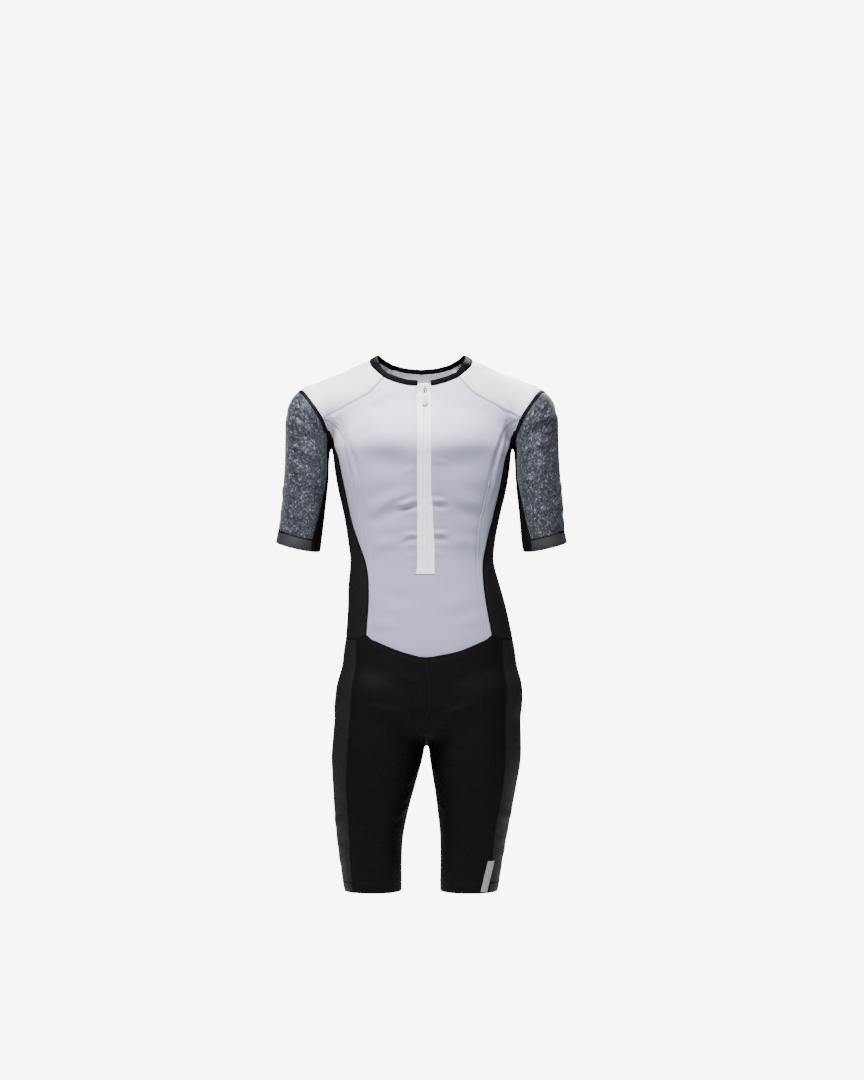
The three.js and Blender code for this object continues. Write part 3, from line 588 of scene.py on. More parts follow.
def relief(points, folds):
    """How far the cloth stands out of the figure at each point, in mm."""
    height = waviness(points)
    for rise, half_width, spine, swell in folds:
        reach = 3.2 * half_width
        low, high = spine.min(axis=0) - reach, spine.max(axis=0) + reach
        close = np.nonzero(((points > low) & (points < high)).all(axis=1))[0]
        if len(close) == 0:
            continue
        apart = np.linalg.norm(points[close, None] - spine[None], axis=2)
        nearest = apart.argmin(axis=1)
        away = apart[np.arange(len(close)), nearest] / half_width
        ridge = np.exp(-away**2) - 0.4 * np.exp(-((away - 1.7) ** 2))
        height[close] += FOLD_STRENGTH * rise * swell[nearest] * ridge
    return height


# ---------- finishes ----------
def place(tree, kind, inputs=None, **settings):
    """Adds a node, sets it up, and feeds its inputs with values or with other nodes' outputs."""
    node = tree.nodes.new(kind)
    for name, value in settings.items():
        setattr(node, name, value)
    for name, value in (inputs or {}).items():
        if isinstance(value, bpy.types.NodeSocket):
            tree.links.new(value, node.inputs[name])
        else:
            node.inputs[name].default_value = value
    return node


def sums(tree, operation, *values):
    inputs = {k: value for k, value in enumerate(values)}
    return place(tree, "ShaderNodeMath", inputs, operation=operation).outputs[0]


def blend_colours(tree, share, first, second):
    node = place(tree, "ShaderNodeMix", data_type="RGBA")
    for name, value in (("Factor", share), ("A", first), ("B", second)):
        socket = next(s for s in node.inputs if s.name == name and s.enabled)
        if isinstance(value, bpy.types.NodeSocket):
            tree.links.new(value, socket)
        else:
            socket.default_value = value
    return next(s for s in node.outputs if s.enabled)


def new_group(name, takes, gives):
    """A node group with named inputs and outputs, and its two end nodes."""
    group = bpy.data.node_groups.new(name, "ShaderNodeTree")
    for socket, kind, value in takes:
        made = group.interface.new_socket(socket, in_out="INPUT", socket_type=kind)
        if value is not None:
            made.default_value = value
    for socket, kind in gives:
        group.interface.new_socket(socket, in_out="OUTPUT", socket_type=kind)
    start = group.nodes.new("NodeGroupInput")
    end = group.nodes.new("NodeGroupOutput")
    return group, start.outputs, end.inputs


NUMBER, COLOUR, VECTOR = "NodeSocketFloat", "NodeSocketColor", "NodeSocketVector"


def knit_group():
    """Columns of V-shaped loops: their height, and a mask that is dark in the gaps between them."""
    group, given, out = new_group(
        "knit_loops",
        [("Vector", VECTOR, None), ("Wale", NUMBER, 0.0009), ("Course", NUMBER, 0.0008)],
        [("Height", NUMBER), ("Shade", NUMBER)],
    )
    split = place(group, "ShaderNodeSeparateXYZ", {"Vector": given["Vector"]})
    across = sums(group, "DIVIDE", split.outputs["X"], given["Wale"])
    down = sums(group, "DIVIDE", split.outputs["Y"], given["Course"])
    off_middle = sums(group, "ABSOLUTE", sums(group, "SUBTRACT", sums(group, "FRACT", across), 0.5))
    slant = sums(group, "ADD", down, sums(group, "MULTIPLY", off_middle, 1.2))
    yarn = sums(group, "SINE", sums(group, "MULTIPLY", slant, math.tau))
    column_shape = sums(group, "COSINE", sums(group, "MULTIPLY", off_middle, math.tau))
    half_yarn = sums(group, "MULTIPLY", yarn, 0.5)
    half_column = sums(group, "MULTIPLY", column_shape, -0.5)
    mixed = sums(group, "ADD", half_yarn, half_column)
    height = sums(group, "ADD", sums(group, "MULTIPLY", mixed, 0.5), 0.5)
    group.links.new(height, out["Height"])
    shade = sums(group, "POWER", sums(group, "MAXIMUM", height, 0.0), 0.5)
    group.links.new(shade, out["Shade"])
    return group


def softness_group():
    """Broad and fine unevenness of a worn cloth, from 0 to 1."""
    group, given, out = new_group(
        "cloth_unevenness",
        [("Vector", VECTOR, None), ("Broad", NUMBER, 9.0), ("Fine", NUMBER, 320.0)],
        [("Broad", NUMBER), ("Fine", NUMBER)],
    )
    broad = place(
        group, "ShaderNodeTexNoise",
        {"Vector": given["Vector"], "Scale": given["Broad"], "Detail": 3.0, "Roughness": 0.55},
    )
    fine = place(
        group, "ShaderNodeTexNoise",
        {"Vector": given["Vector"], "Scale": given["Fine"], "Detail": 2.0, "Roughness": 0.6},
    )
    group.links.new(broad.outputs["Fac"], out["Broad"])
    group.links.new(fine.outputs["Fac"], out["Fine"])
    return group


def seam_shade_group():
    """From the distance to the panel's edge: a soft mask for painted shade beside the seam."""
    group, given, out = new_group(
        "seam_shade",
        [("Distance", NUMBER, 0.0), ("Reach", NUMBER, 0.004)],
        [("Beside", NUMBER)],
    )
    share = sums(group, "DIVIDE", given["Distance"], given["Reach"])
    beside = sums(group, "SUBTRACT", 1.0, sums(group, "MINIMUM", share, 1.0))
    group.links.new(sums(group, "POWER", beside, 1.6), out["Beside"])
    return group


def thread_group():
    """Cover stitching on a strip: slanted threads across it, between needle rows along it."""
    group, given, out = new_group(
        "cover_stitch",
        [("Vector", VECTOR, None), ("Pitch", NUMBER, 0.0021), ("Width", NUMBER, 0.005)],
        [("Height", NUMBER), ("Gap", NUMBER)],
    )
    split = place(group, "ShaderNodeSeparateXYZ", {"Vector": given["Vector"]})
    across = sums(group, "DIVIDE", split.outputs["X"], given["Width"])
    along = sums(group, "DIVIDE", split.outputs["Y"], given["Pitch"])
    slanted = sums(group, "ADD", along, sums(group, "MULTIPLY", across, 1.4))
    threads = sums(group, "SINE", sums(group, "MULTIPLY", slanted, math.tau))
    threads = sums(group, "ADD", sums(group, "MULTIPLY", threads, 0.5), 0.5)
    rows = sums(group, "COSINE", sums(group, "MULTIPLY", across, 3 * math.tau))
    rows = sums(group, "MAXIMUM", sums(group, "MULTIPLY", rows, 0.8), 0.0)
    height = sums(group, "MAXIMUM", threads, rows)
    group.links.new(height, out["Height"])
    group.links.new(sums(group, "SUBTRACT", 1.0, height), out["Gap"])
    return group


def speckle_group():
    """A heathered print: flecks of five greys, gathered a little into lighter and darker drifts."""
    group, given, out = new_group(
        "speckle_print", [("Vector", VECTOR, None), ("Fleck", NUMBER, 0.0022)], [("Color", COLOUR)]
    )
    scale = sums(group, "DIVIDE", 1.0, given["Fleck"])
    bend = place(group, "ShaderNodeTexNoise", {"Vector": given["Vector"], "Scale": 260.0, "Detail": 1.0})
    pushed = place(
        group, "ShaderNodeVectorMath",
        {0: bend.outputs["Color"], "Scale": 0.0009}, operation="SCALE",
    )
    moved = place(
        group, "ShaderNodeVectorMath", {0: given["Vector"], 1: pushed.outputs[0]}, operation="ADD"
    )
    cells = place(
        group, "ShaderNodeTexVoronoi", {"Vector": moved.outputs[0], "Scale": scale, "Randomness": 0.95},
        voronoi_dimensions="2D", distance="CHEBYCHEV",
    )
    pick = place(group, "ShaderNodeSeparateColor", {"Color": cells.outputs["Color"]}).outputs["Red"]
    drift = place(
        group, "ShaderNodeTexNoise",
        {"Vector": given["Vector"], "Scale": 75.0, "Detail": 2.0, "Roughness": 0.6},
    )
    drifted = sums(group, "MULTIPLY", sums(group, "SUBTRACT", drift.outputs["Fac"], 0.5), 0.7)
    tone = sums(group, "ADD", pick, drifted)
    ramp_node = place(group, "ShaderNodeValToRGB", {"Fac": tone})
    steps = (
        (0.0, (0.002, 0.0025, 0.004, 1)),
        (0.16, (0.009, 0.011, 0.017, 1)),
        (0.38, (0.020, 0.0235, 0.033, 1)),
        (0.64, (0.037, 0.042, 0.056, 1)),
        (0.86, (0.070, 0.079, 0.098, 1)),
        (0.975, (0.150, 0.166, 0.192, 1)),
    )
    ramp_node.color_ramp.interpolation = "CONSTANT"
    stops = ramp_node.color_ramp.elements
    while len(stops) < len(steps):
        stops.new(0.5)
    for stop, (at, colour) in zip(stops, steps):
        stop.position, stop.color = at, colour
    group.links.new(ramp_node.outputs["Color"], out["Color"])
    return group


class Finish:
    """A material with its shader, the cloth's own map and the object's coordinates at hand."""

    def __init__(self, name, **shader_values):
        self.material = bpy.data.materials.new(name)
        self.material.use_nodes = True
        self.tree = self.material.node_tree
        self.shader = self.tree.nodes["Principled BSDF"]
        for socket, value in shader_values.items():
            self.shader.inputs[socket.replace("_", " ")].default_value = value
        self.laid = place(self.tree, "ShaderNodeUVMap", uv_map="laid_flat").outputs[0]
        self.at = place(self.tree, "ShaderNodeTexCoord").outputs["Object"]

    def group(self, group, **inputs):
        node = place(self.tree, "ShaderNodeGroup", node_tree=group)
        for name, value in inputs.items():
            if isinstance(value, bpy.types.NodeSocket):
                self.tree.links.new(value, node.inputs[name])
            else:
                node.inputs[name].default_value = value
        return node.outputs

    def feed(self, socket, value):
        self.tree.links.new(value, self.shader.inputs[socket])

    def bump(self, *layers):
        """Bump from (height, strength, depth in metres) layers, one over the other."""
        normal = None
        for height, strength, depth in layers:
            inputs = {"Height": height, "Strength": strength, "Distance": depth}
            if normal is not None:
                inputs["Normal"] = normal
            normal = place(self.tree, "ShaderNodeBump", inputs).outputs["Normal"]
        self.feed("Normal", normal)

    def range(self, value, low, high):
        spread = place(self.tree, "ShaderNodeMapRange", {"Value": value, "To Min": low, "To Max": high})
        return spread.outputs["Result"]


def knit(
    name, colour, deep, rough, wale=0.0009, course=0.0008, depth=0.00011, sheen=0.15, level=0.4, mesh=None
):
    """Stretch knit: a base colour that drifts at random to a deeper one, with painted shade in the gaps
    between its loops and beside its seams; the mesh colour, when given, is painted shade below the chest.
    """
    finish = Finish(name, Roughness=rough, Sheen_Weight=sheen, Sheen_Roughness=0.4, Specular_IOR_Level=level)
    loops = finish.group(GROUPS["knit"], Vector=finish.laid, Wale=wale, Course=course)
    uneven = finish.group(GROUPS["softness"], Vector=finish.at)
    distance = place(finish.tree, "ShaderNodeAttribute", attribute_name="seam_distance").outputs["Fac"]
    seam = finish.group(GROUPS["seam"], Distance=distance)
    drift = finish.range(uneven["Broad"], 0.0, 0.55)
    base = blend_colours(finish.tree, drift, (*colour, 1), (*deep, 1))
    # painted shade below the chest: under a slightly wandering height the colour turns to the given mesh
    # colour
    if mesh is not None:
        split = place(finish.tree, "ShaderNodeSeparateXYZ", {"Vector": finish.at})
        wander = finish.range(uneven["Broad"], -0.012, 0.012)
        height = sums(finish.tree, "ADD", split.outputs["Z"], wander)
        below_chest_shade = place(
            finish.tree, "ShaderNodeMapRange",
            {"Value": height, "From Min": PAINTED_SHADE_FROM[0], "From Max": PAINTED_SHADE_FROM[1],
             "To Min": 0.0, "To Max": 1.0},
            interpolation_type="SMOOTHSTEP",
        )
        base = blend_colours(finish.tree, below_chest_shade.outputs["Result"], base, (*mesh, 1))
    # painted shade in the gaps between the loops
    gaps = finish.range(loops["Shade"], 0.22, 0.0)
    base = blend_colours(finish.tree, gaps, base, (*(0.6 * c for c in deep), 1))
    # painted shade beside the seams
    beside = finish.range(seam["Beside"], 0.0, 0.3)
    base = blend_colours(finish.tree, beside, base, (*(0.72 * c for c in deep), 1))
    finish.feed("Base Color", base)
    finish.feed("Roughness", finish.range(uneven["Fine"], rough - 0.07, rough + 0.07))
    finish.bump((loops["Height"], 0.55, depth), (uneven["Fine"], 0.25, 0.00012))
    return finish


PAINTED_SHADE_FROM = (-0.138, -0.178)  # painted shade: below the chest the knit's colour turns deeper, where the light from above falls away


def printed_knit():
    finish = Finish("speckled_sleeve_knit", Sheen_Weight=0.1, Sheen_Roughness=0.45, Specular_IOR_Level=0.35)
    flecks = finish.group(GROUPS["speckle"], Vector=finish.laid)
    loops = finish.group(GROUPS["knit"], Vector=finish.laid, Wale=0.0008, Course=0.0007)
    uneven = finish.group(GROUPS["softness"], Vector=finish.at, Broad=14.0)
    distance = place(finish.tree, "ShaderNodeAttribute", attribute_name="seam_distance").outputs["Fac"]
    seam = finish.group(GROUPS["seam"], Distance=distance)
    # painted shade in the gaps between the loops
    gaps = finish.range(loops["Shade"], 0.2, 0.0)
    base = blend_colours(finish.tree, gaps, flecks["Color"], (0.02, 0.022, 0.03, 1))
    # painted shade beside the seams
    beside = finish.range(seam["Beside"], 0.0, 0.45)
    base = blend_colours(finish.tree, beside, base, (0.02, 0.022, 0.028, 1))
    finish.feed("Base Color", base)
    finish.feed("Roughness", finish.range(uneven["Fine"], 0.52, 0.68))
    finish.bump((loops["Height"], 0.5, 0.0001), (uneven["Fine"], 0.25, 0.0001))
    return finish


def cover_thread(name, colour, deep, sheen, level):
    """Lofty thread of a flat seam, lighter on its ridges, with painted shade between them."""
    finish = Finish(name, Roughness=0.62, Sheen_Weight=sheen, Sheen_Roughness=0.5, Specular_IOR_Level=level)
    stitch = finish.group(GROUPS["thread"], Vector=finish.laid)
    uneven = finish.group(GROUPS["softness"], Vector=finish.at)
    base = blend_colours(finish.tree, finish.range(stitch["Gap"], 0.0, 0.75), (*colour, 1), (*deep, 1))
    finish.feed("Base Color", base)
    finish.feed("Roughness", finish.range(uneven["Fine"], 0.55, 0.7))
    finish.bump((stitch["Height"], 0.8, 0.0003), (uneven["Fine"], 0.2, 0.0001))
    return finish


STRIP_TOP = -0.0615  # the pale facing of the zip starts here, with rounded corners
STRIP_LEVEL = 0.008  # its top is level this far to either side of the zip, and then falls away
STRIP_CORNER = 190.0
STOP_FOOT = -0.0500


def above_strip(finish):
    """A mask that is 1 where the tapes' top ends are covered with the front's own knit."""
    split = place(finish.tree, "ShaderNodeSeparateXYZ", {"Vector": finish.at})
    off = sums(finish.tree, "ABSOLUTE", sums(finish.tree, "SUBTRACT", split.outputs["X"], ZIP_X * MM))
    corner = sums(finish.tree, "MAXIMUM", sums(finish.tree, "SUBTRACT", off, STRIP_LEVEL), 0.0)
    drop = sums(finish.tree, "MULTIPLY", sums(finish.tree, "POWER", corner, 2.0), STRIP_CORNER)
    edge = sums(finish.tree, "SUBTRACT", STRIP_TOP, drop)
    above = sums(finish.tree, "GREATER_THAN", split.outputs["Z"], edge)
    below_stop = sums(finish.tree, "LESS_THAN", split.outputs["Z"], STOP_FOOT)
    return sums(finish.tree, "MULTIPLY", above, below_stop)


TWILL_PITCH = 0.0011


def woven_tape():
    """The zip's pale twill tape, a little dulled where hands and washing have been."""
    finish = Finish("zip_tape_twill", Roughness=0.5, Sheen_Weight=0.1, Sheen_Roughness=0.4)
    split = place(finish.tree, "ShaderNodeSeparateXYZ", {"Vector": finish.laid})
    lean = sums(finish.tree, "MULTIPLY", split.outputs["Y"], 0.6)
    slant = sums(finish.tree, "ADD", split.outputs["X"], lean)
    twill = sums(finish.tree, "SINE", sums(finish.tree, "MULTIPLY", slant, math.tau / TWILL_PITCH))
    uneven = finish.group(GROUPS["softness"], Vector=finish.at, Broad=16.0)
    drift = finish.range(uneven["Broad"], 0.0, 0.6)
    base = blend_colours(finish.tree, drift, (0.86, 0.87, 0.95, 1), (0.78, 0.79, 0.88, 1))
    shade = finish.range(twill, 0.12, 0.0)
    base = blend_colours(finish.tree, shade, base, (0.45, 0.45, 0.5, 1))
    base = blend_colours(finish.tree, above_strip(finish), base, (0.56, 0.555, 0.75, 1))
    finish.feed("Base Color", base)
    finish.feed("Roughness", finish.range(uneven["Fine"], 0.42, 0.58))
    finish.bump((twill, 0.35, 0.00012), (uneven["Fine"], 0.2, 0.0001))
    return finish


def reflective_film():
    """Grey glass-bead film: dull silver, fine beads, rubbed a little in patches."""
    finish = Finish("reflective_film", Metallic=0.35, Specular_IOR_Level=0.6)
    bead_cells = place(finish.tree, "ShaderNodeTexVoronoi", {"Vector": finish.at, "Scale": 2400.0})
    beads = bead_cells.outputs["Distance"]
    uneven = finish.group(GROUPS["softness"], Vector=finish.at, Broad=60.0)
    base = blend_colours(
        finish.tree, finish.range(uneven["Broad"], 0.0, 1.0), (0.34, 0.345, 0.36, 1), (0.24, 0.24, 0.255, 1)
    )
    finish.feed("Base Color", base)
    finish.feed("Roughness", finish.range(uneven["Fine"], 0.32, 0.5))
    finish.bump((beads, 0.4, 0.0002))
    return finish


def cast_metal():
    """The slider's dark plated metal, polished a little by use in small patches."""
    finish = Finish("slider_metal", Metallic=1.0, Specular_IOR_Level=0.5)
    uneven = finish.group(GROUPS["softness"], Vector=finish.at, Broad=220.0, Fine=1900.0)
    base = blend_colours(
        finish.tree, finish.range(uneven["Broad"], 0.0, 1.0), (0.10, 0.10, 0.12, 1), (0.19, 0.19, 0.21, 1)
    )
    finish.feed("Base Color", base)
    finish.feed("Roughness", finish.range(uneven["Fine"], 0.25, 0.45))
    finish.bump((uneven["Fine"], 0.15, 0.0001))
    return finish


def moulded_rubber():
    """The pull tab's pale soft rubber with a fine moulded grain."""
    finish = Finish("tab_rubber", Specular_IOR_Level=0.4, Subsurface_Weight=0.0)
    uneven = finish.group(GROUPS["softness"], Vector=finish.at, Broad=120.0, Fine=1500.0)
    base = blend_colours(
        finish.tree, finish.range(uneven["Broad"], 0.0, 1.0), (0.74, 0.74, 0.79, 1), (0.64, 0.64, 0.70, 1)
    )
    finish.feed("Base Color", base)
    finish.feed("Roughness", finish.range(uneven["Fine"], 0.42, 0.6))
    finish.bump((uneven["Fine"], 0.3, 0.0001))
    return finish


# ---------- meshes ----------
SEAM_DIP = 0.9  # mm that a panel's edge is drawn in by its seam
SEAM_REACH = 4.5
LAID_APART = 0.6  # m between the parts of one panel where it is laid flat


def lay_grid(bm, grid, shift=0.0):
    """A grid of faces on rows of places, with its flat map in metres."""
    rows, columns = grid.shape[0] - 1, grid.shape[1] - 1
    wide = np.linalg.norm(np.diff(grid, axis=1), axis=2).sum(axis=1).mean() * MM
    long = np.linalg.norm(np.diff(grid, axis=0), axis=2).sum(axis=0).mean() * MM
    made = bmesh.ops.create_grid(bm, x_segments=columns, y_segments=rows, size=0.5, calc_uvs=False)
    flat = bm.loops.layers.uv.verify()
    verts = made["verts"]
    spots = {v: (round((0.5 - v.co.y) * rows), round((v.co.x + 0.5) * columns)) for v in verts}
    for face in {face for v in verts for face in v.link_faces}:
        for loop in face.loops:
            row, column = spots[loop.vert]
            loop[flat].uv = (column / columns * wide + shift, row / rows * long)
    for v, (row, column) in spots.items():
        v.co = grid[row, column] * MM


def places_of(bm):
    return np.array([v.co for v in bm.verts]) / MM


def set_places(bm, places):
    for v, place_mm in zip(bm.verts, places):
        v.co = place_mm * MM


def edge_distance(bm, places):
    """How far each vertex is from the nearest open edge, in mm."""
    border = np.array([[e.verts[0].co, e.verts[1].co] for e in bm.edges if e.is_boundary]) / MM
    dense = np.concatenate([border[:, 0] * (1 - t) + border[:, 1] * t for t in (0.0, 0.25, 0.5, 0.75)])
    distance = np.empty(len(places))
    for start in range(0, len(places), 2000):
        part = places[start:start + 2000]
        apart = ((part[:, None] - dense[None]) ** 2).sum(axis=2)
        distance[start:start + 2000] = np.sqrt(apart.min(axis=1))
    return distance


def finish_piece(bm, name, material, node, body="suit", wall=None):
    """Makes the object, gives it its material and its wall, hangs it from its body, and hides the frame part
    it stands for.
    """
    for face in bm.faces:
        face.smooth = True
    for edge in bm.edges:
        edge.smooth = not edge.is_boundary and edge.calc_face_angle(0) < SHARP
    mesh = bpy.data.meshes.new(name)
    bm.to_mesh(mesh)
    bm.free()
    if mesh.uv_layers:
        mesh.uv_layers[0].name = "laid_flat"
    mesh.materials.append(material.material)
    piece = bpy.data.objects.new(name, mesh)
    bpy.context.scene.collection.objects.link(piece)
    if wall:
        inside = piece.modifiers.new("wall", "SOLIDIFY")
        inside.thickness = wall * MM
        inside.offset = -1
    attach(piece, body)
    if node:
        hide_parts(node)


SHARP = 0.8  # radians between faces, past which an edge is shown crisp


def cloth_panel(name, grids, material, lift=0.0, wall=CLOTH, dip=SEAM_DIP, shape=None, eased=0):
    """A panel of cloth: the figure's form, its folds, its drawn-in edges, and a thin wall."""
    bm = bmesh.new()
    shift = 0.0
    for grid in grids:
        lay_grid(bm, facing_out(grid), shift)
        shift += LAID_APART
    bmesh.ops.remove_doubles(bm, verts=list(bm.verts), dist=0.02 * MM)
    places = places_of(bm)
    out = normals_at(places)
    distance = edge_distance(bm, places)
    height = relief(places, FOLDS) + lift - dip * np.exp(-((distance / SEAM_REACH) ** 2))
    if shape is not None:
        height = height + shape(places)
    places = places + out * height[:, None]
    apart = bm.verts.layers.float.new("seam_distance")
    for v, far in zip(bm.verts, distance):
        v[apart] = far * MM
    set_places(bm, places)
    inner = [v for v in bm.verts if not v.is_boundary]
    for _ in range(eased):
        bmesh.ops.smooth_vert(bm, verts=inner, factor=0.5, use_axis_x=True, use_axis_y=True, use_axis_z=True)
    finish_piece(bm, name + "_cloth", material, name, wall=wall)


def tube_along(bm, spine, ups, outs, section):
    """A closed bar: a section of (up, out) places in mm, carried along a line and capped."""
    ring = np.array(section + section[:1])
    grid = spine[:, None] + ups[:, None] * ring[None, :, :1] + outs[:, None] * ring[None, :, 1:]
    lay_grid(bm, grid)
    bmesh.ops.remove_doubles(bm, verts=list(bm.verts), dist=0.01 * MM)
    bmesh.ops.holes_fill(bm, edges=[e for e in bm.edges if e.is_boundary], sides=0)
    bmesh.ops.recalc_face_normals(bm, faces=list(bm.faces))


def rounded_section(half_up, half_out, middle_up=0.0, middle_out=0.0, steps=16, square=3.0):
    places = []
    for k in range(steps):
        a = math.tau * k / steps
        c, s = math.cos(a), math.sin(a)
        up = math.copysign(abs(c) ** (2 / square), c) * half_up + middle_up
        out = math.copysign(abs(s) ** (2 / square), s) * half_out + middle_out
        places.append((up, out))
    return places


def along(points, closed=False):
    """Unit steps along a line."""
    if closed:
        steps = np.roll(points, -1, axis=0) - np.roll(points, 1, axis=0)
    else:
        steps = np.gradient(points, axis=0)
    return steps / np.linalg.norm(steps, axis=1, keepdims=True)


def evened(points, step):
    """The same line with points a given distance apart."""
    run = np.concatenate([[0], np.cumsum(np.linalg.norm(np.diff(points, axis=0), axis=1))])
    at = np.linspace(0, run[-1], max(3, int(run[-1] / step)))
    return np.stack([np.interp(at, run, points[:, k]) for k in range(3)], axis=-1)


STRIP_STEP = 3.0  # mm between places along a row of stitching or the binding
STITCHING_WALL = 0.6


def seam_strip(bm, seam, width, lift):
    """One row of cover stitching along a seam: a narrow crowned strip that lies over both edges."""
    spine = settle(evened(seam, STRIP_STEP), 3)
    out = normals_at(spine)
    side = np.cross(along(spine), out)
    side /= np.linalg.norm(side, axis=1, keepdims=True)
    base = relief(spine, FOLDS) - SEAM_DIP + lift
    shares_across = np.array([-1.0, -0.86, -0.4, 0.4, 0.86, 1.0])
    crown = np.array([-0.45, 0.2, 0.42, 0.42, 0.2, -0.45])
    grid = (
        spine[:, None]
        + side[:, None] * (shares_across * width / 2)[None, :, None]
        + out[:, None] * (base[:, None] + crown[None])[..., None]
    )
    lay_grid(bm, facing_out(grid))


def stitching(name, seams, material, width=4.6, lift=0.35):
    bm = bmesh.new()
    for seam in seams:
        seam_strip(bm, seam, width, lift)
    finish_piece(bm, name, material, None, wall=STITCHING_WALL)


# ---------- the suit's pieces ----------
def make_torso(left, right):
    for tag, _ in SIDES:
        s = SEAMS[tag]
        cloth_panel(
            "shoulder_" + tag, [patch(s["neck_side"], s["hole_top"], s["yoke"], s["back_yoke"])],
            FINISHES["yoke"],
        )
        princess = chain(s["princess_high"], s["princess_low"])
        cloth_panel(
            "side_strip_" + tag, [patch(s["hole_front"], s["waist_strip"], princess, s["strip"])],
            FINISHES["strip"],
        )
        waist = chain(s["waist_corner"], s["waist_side"], s["waist_back_corner"])
        cloth_panel(
            "side_panel_" + tag, [patch(s["hole_under"], waist, s["strip"], s["back_side"])],
            FINISHES["charcoal"],
        )

    def beside_zip(s):
        edge = chain(s["yoke"], s["princess_high"])
        return patch(s["neck_front"][::-1], s["zip_foot"][::-1], edge, chain(s["zip_chest"], s["zip_belly"]))

    foot_middle = cast(
        np.linspace(left["zip_foot"][0][0], right["zip_foot"][0][0], 2 * FINE + 1), ZIP_BOTTOM, -1
    )
    foot_row = chain(left["zip_foot"][::-1], foot_middle, right["zip_foot"])
    waist_row = chain(
        left["waist_front"][::-1], left["waist_slot"][::-1], right["waist_slot"], right["waist_front"]
    )
    below_zip = patch(foot_row, waist_row, left["princess_low"], right["princess_low"])
    cloth_panel(
        "front_panel", [beside_zip(left), beside_zip(right), below_zip], FINISHES["white"]
    )
    back_top = chain(left["neck_back"], right["neck_back"][::-1])
    back_waist = chain(left["waist_back"], right["waist_back"][::-1])

    def back_edge(s):
        return chain(s["back_yoke"], s["hole_back"][::-1], s["back_side"])

    cloth_panel(
        "back_panel", [patch(back_top, back_waist, back_edge(left), back_edge(right))],
        FINISHES["back"], eased=3,
    )


def make_shorts():
    for tag, _ in SIDES:
        s = SEAMS[tag]
        front_waist = chain(s["waist_slot"], s["waist_front"], s["waist_strip"], s["waist_corner"])
        front_inner = chain(s["centre_front"], s["inseam"])
        front_outer = chain(s["leg_front_high"], s["leg_front_low"])
        cloth_panel(
            "shorts_front_" + tag, [patch(front_waist, s["hem_front"], front_inner, front_outer)],
            FINISHES["black"],
        )
        back_waist = chain(s["waist_back"][::-1], s["waist_back_corner"][::-1])
        back_inner = chain(s["centre_back"], s["inseam"])
        back_outer = chain(s["leg_back_high"], s["leg_back_low"])
        cloth_panel(
            "shorts_back_" + tag, [patch(back_waist, s["hem_back"], back_inner, back_outer)],
            FINISHES["black"],
        )
        cloth_panel(
            "leg_side_" + tag, [patch(s["waist_side"], s["hem_side"], front_outer, back_outer)],
            FINISHES["leg_side"],
        )


OPEN_TURN = 129  # the under panel's half reach at the cuff is what is left of half a turn
UNDER_FRONT, UNDER_BACK = 19, 15  # ring places where the under panel's two seams start
CUFF_FLARE = 4.5


def around_hem(side, turn, above):
    """The sleeve's hem plane tips up on the outside and down at the front."""
    a = np.radians(turn)
    return around_arm(side, turn, -335 + 9 * np.cos(a) - 6 * np.sin(a) + above)


def hem_line(side, above, start, end, steps):
    return around_hem(side, np.linspace(start, end, steps + 1), above)


def sleeve_rings(side, s):
    front = chain(s["hole_front"], s["hole_under"][:FINE + 1])
    hole = chain(front[::-1], s["hole_top"], s["hole_back"][::-1], s["hole_under"][FINE:][::-1])
    count = len(hole) - 1
    k = np.arange(count)
    reach = hole[(k + FINE) % count] - hole[(k - FINE) % count]
    step = np.cross(reach, normals_at(hole[:-1]))
    step /= np.linalg.norm(step, axis=1, keepdims=True)
    step[step[:, 0] * side < 0] *= -1
    # in the cleft under the arm the band turns straight down the sleeve
    down = np.array([side * 0.45, 0, -1])
    share = ramp(14 * FINE, 15 * FINE, k) * (1 - ramp(19 * FINE, 20 * FINE, k))
    step = step * (1 - share[:, None]) + down * share[:, None]
    ring = settle(hole[:-1] + step * ARMHOLE_BAND)
    return hole, np.concatenate([ring, ring[:1]])


def between(start, end, rows):
    """Rows of places from one line to another, settled on the figure."""
    share = np.linspace(0, 1, rows + 1)[:, None, None]
    grid = settle(start[None] * (1 - share) + end[None] * share)
    grid[0], grid[-1] = start, end
    return grid


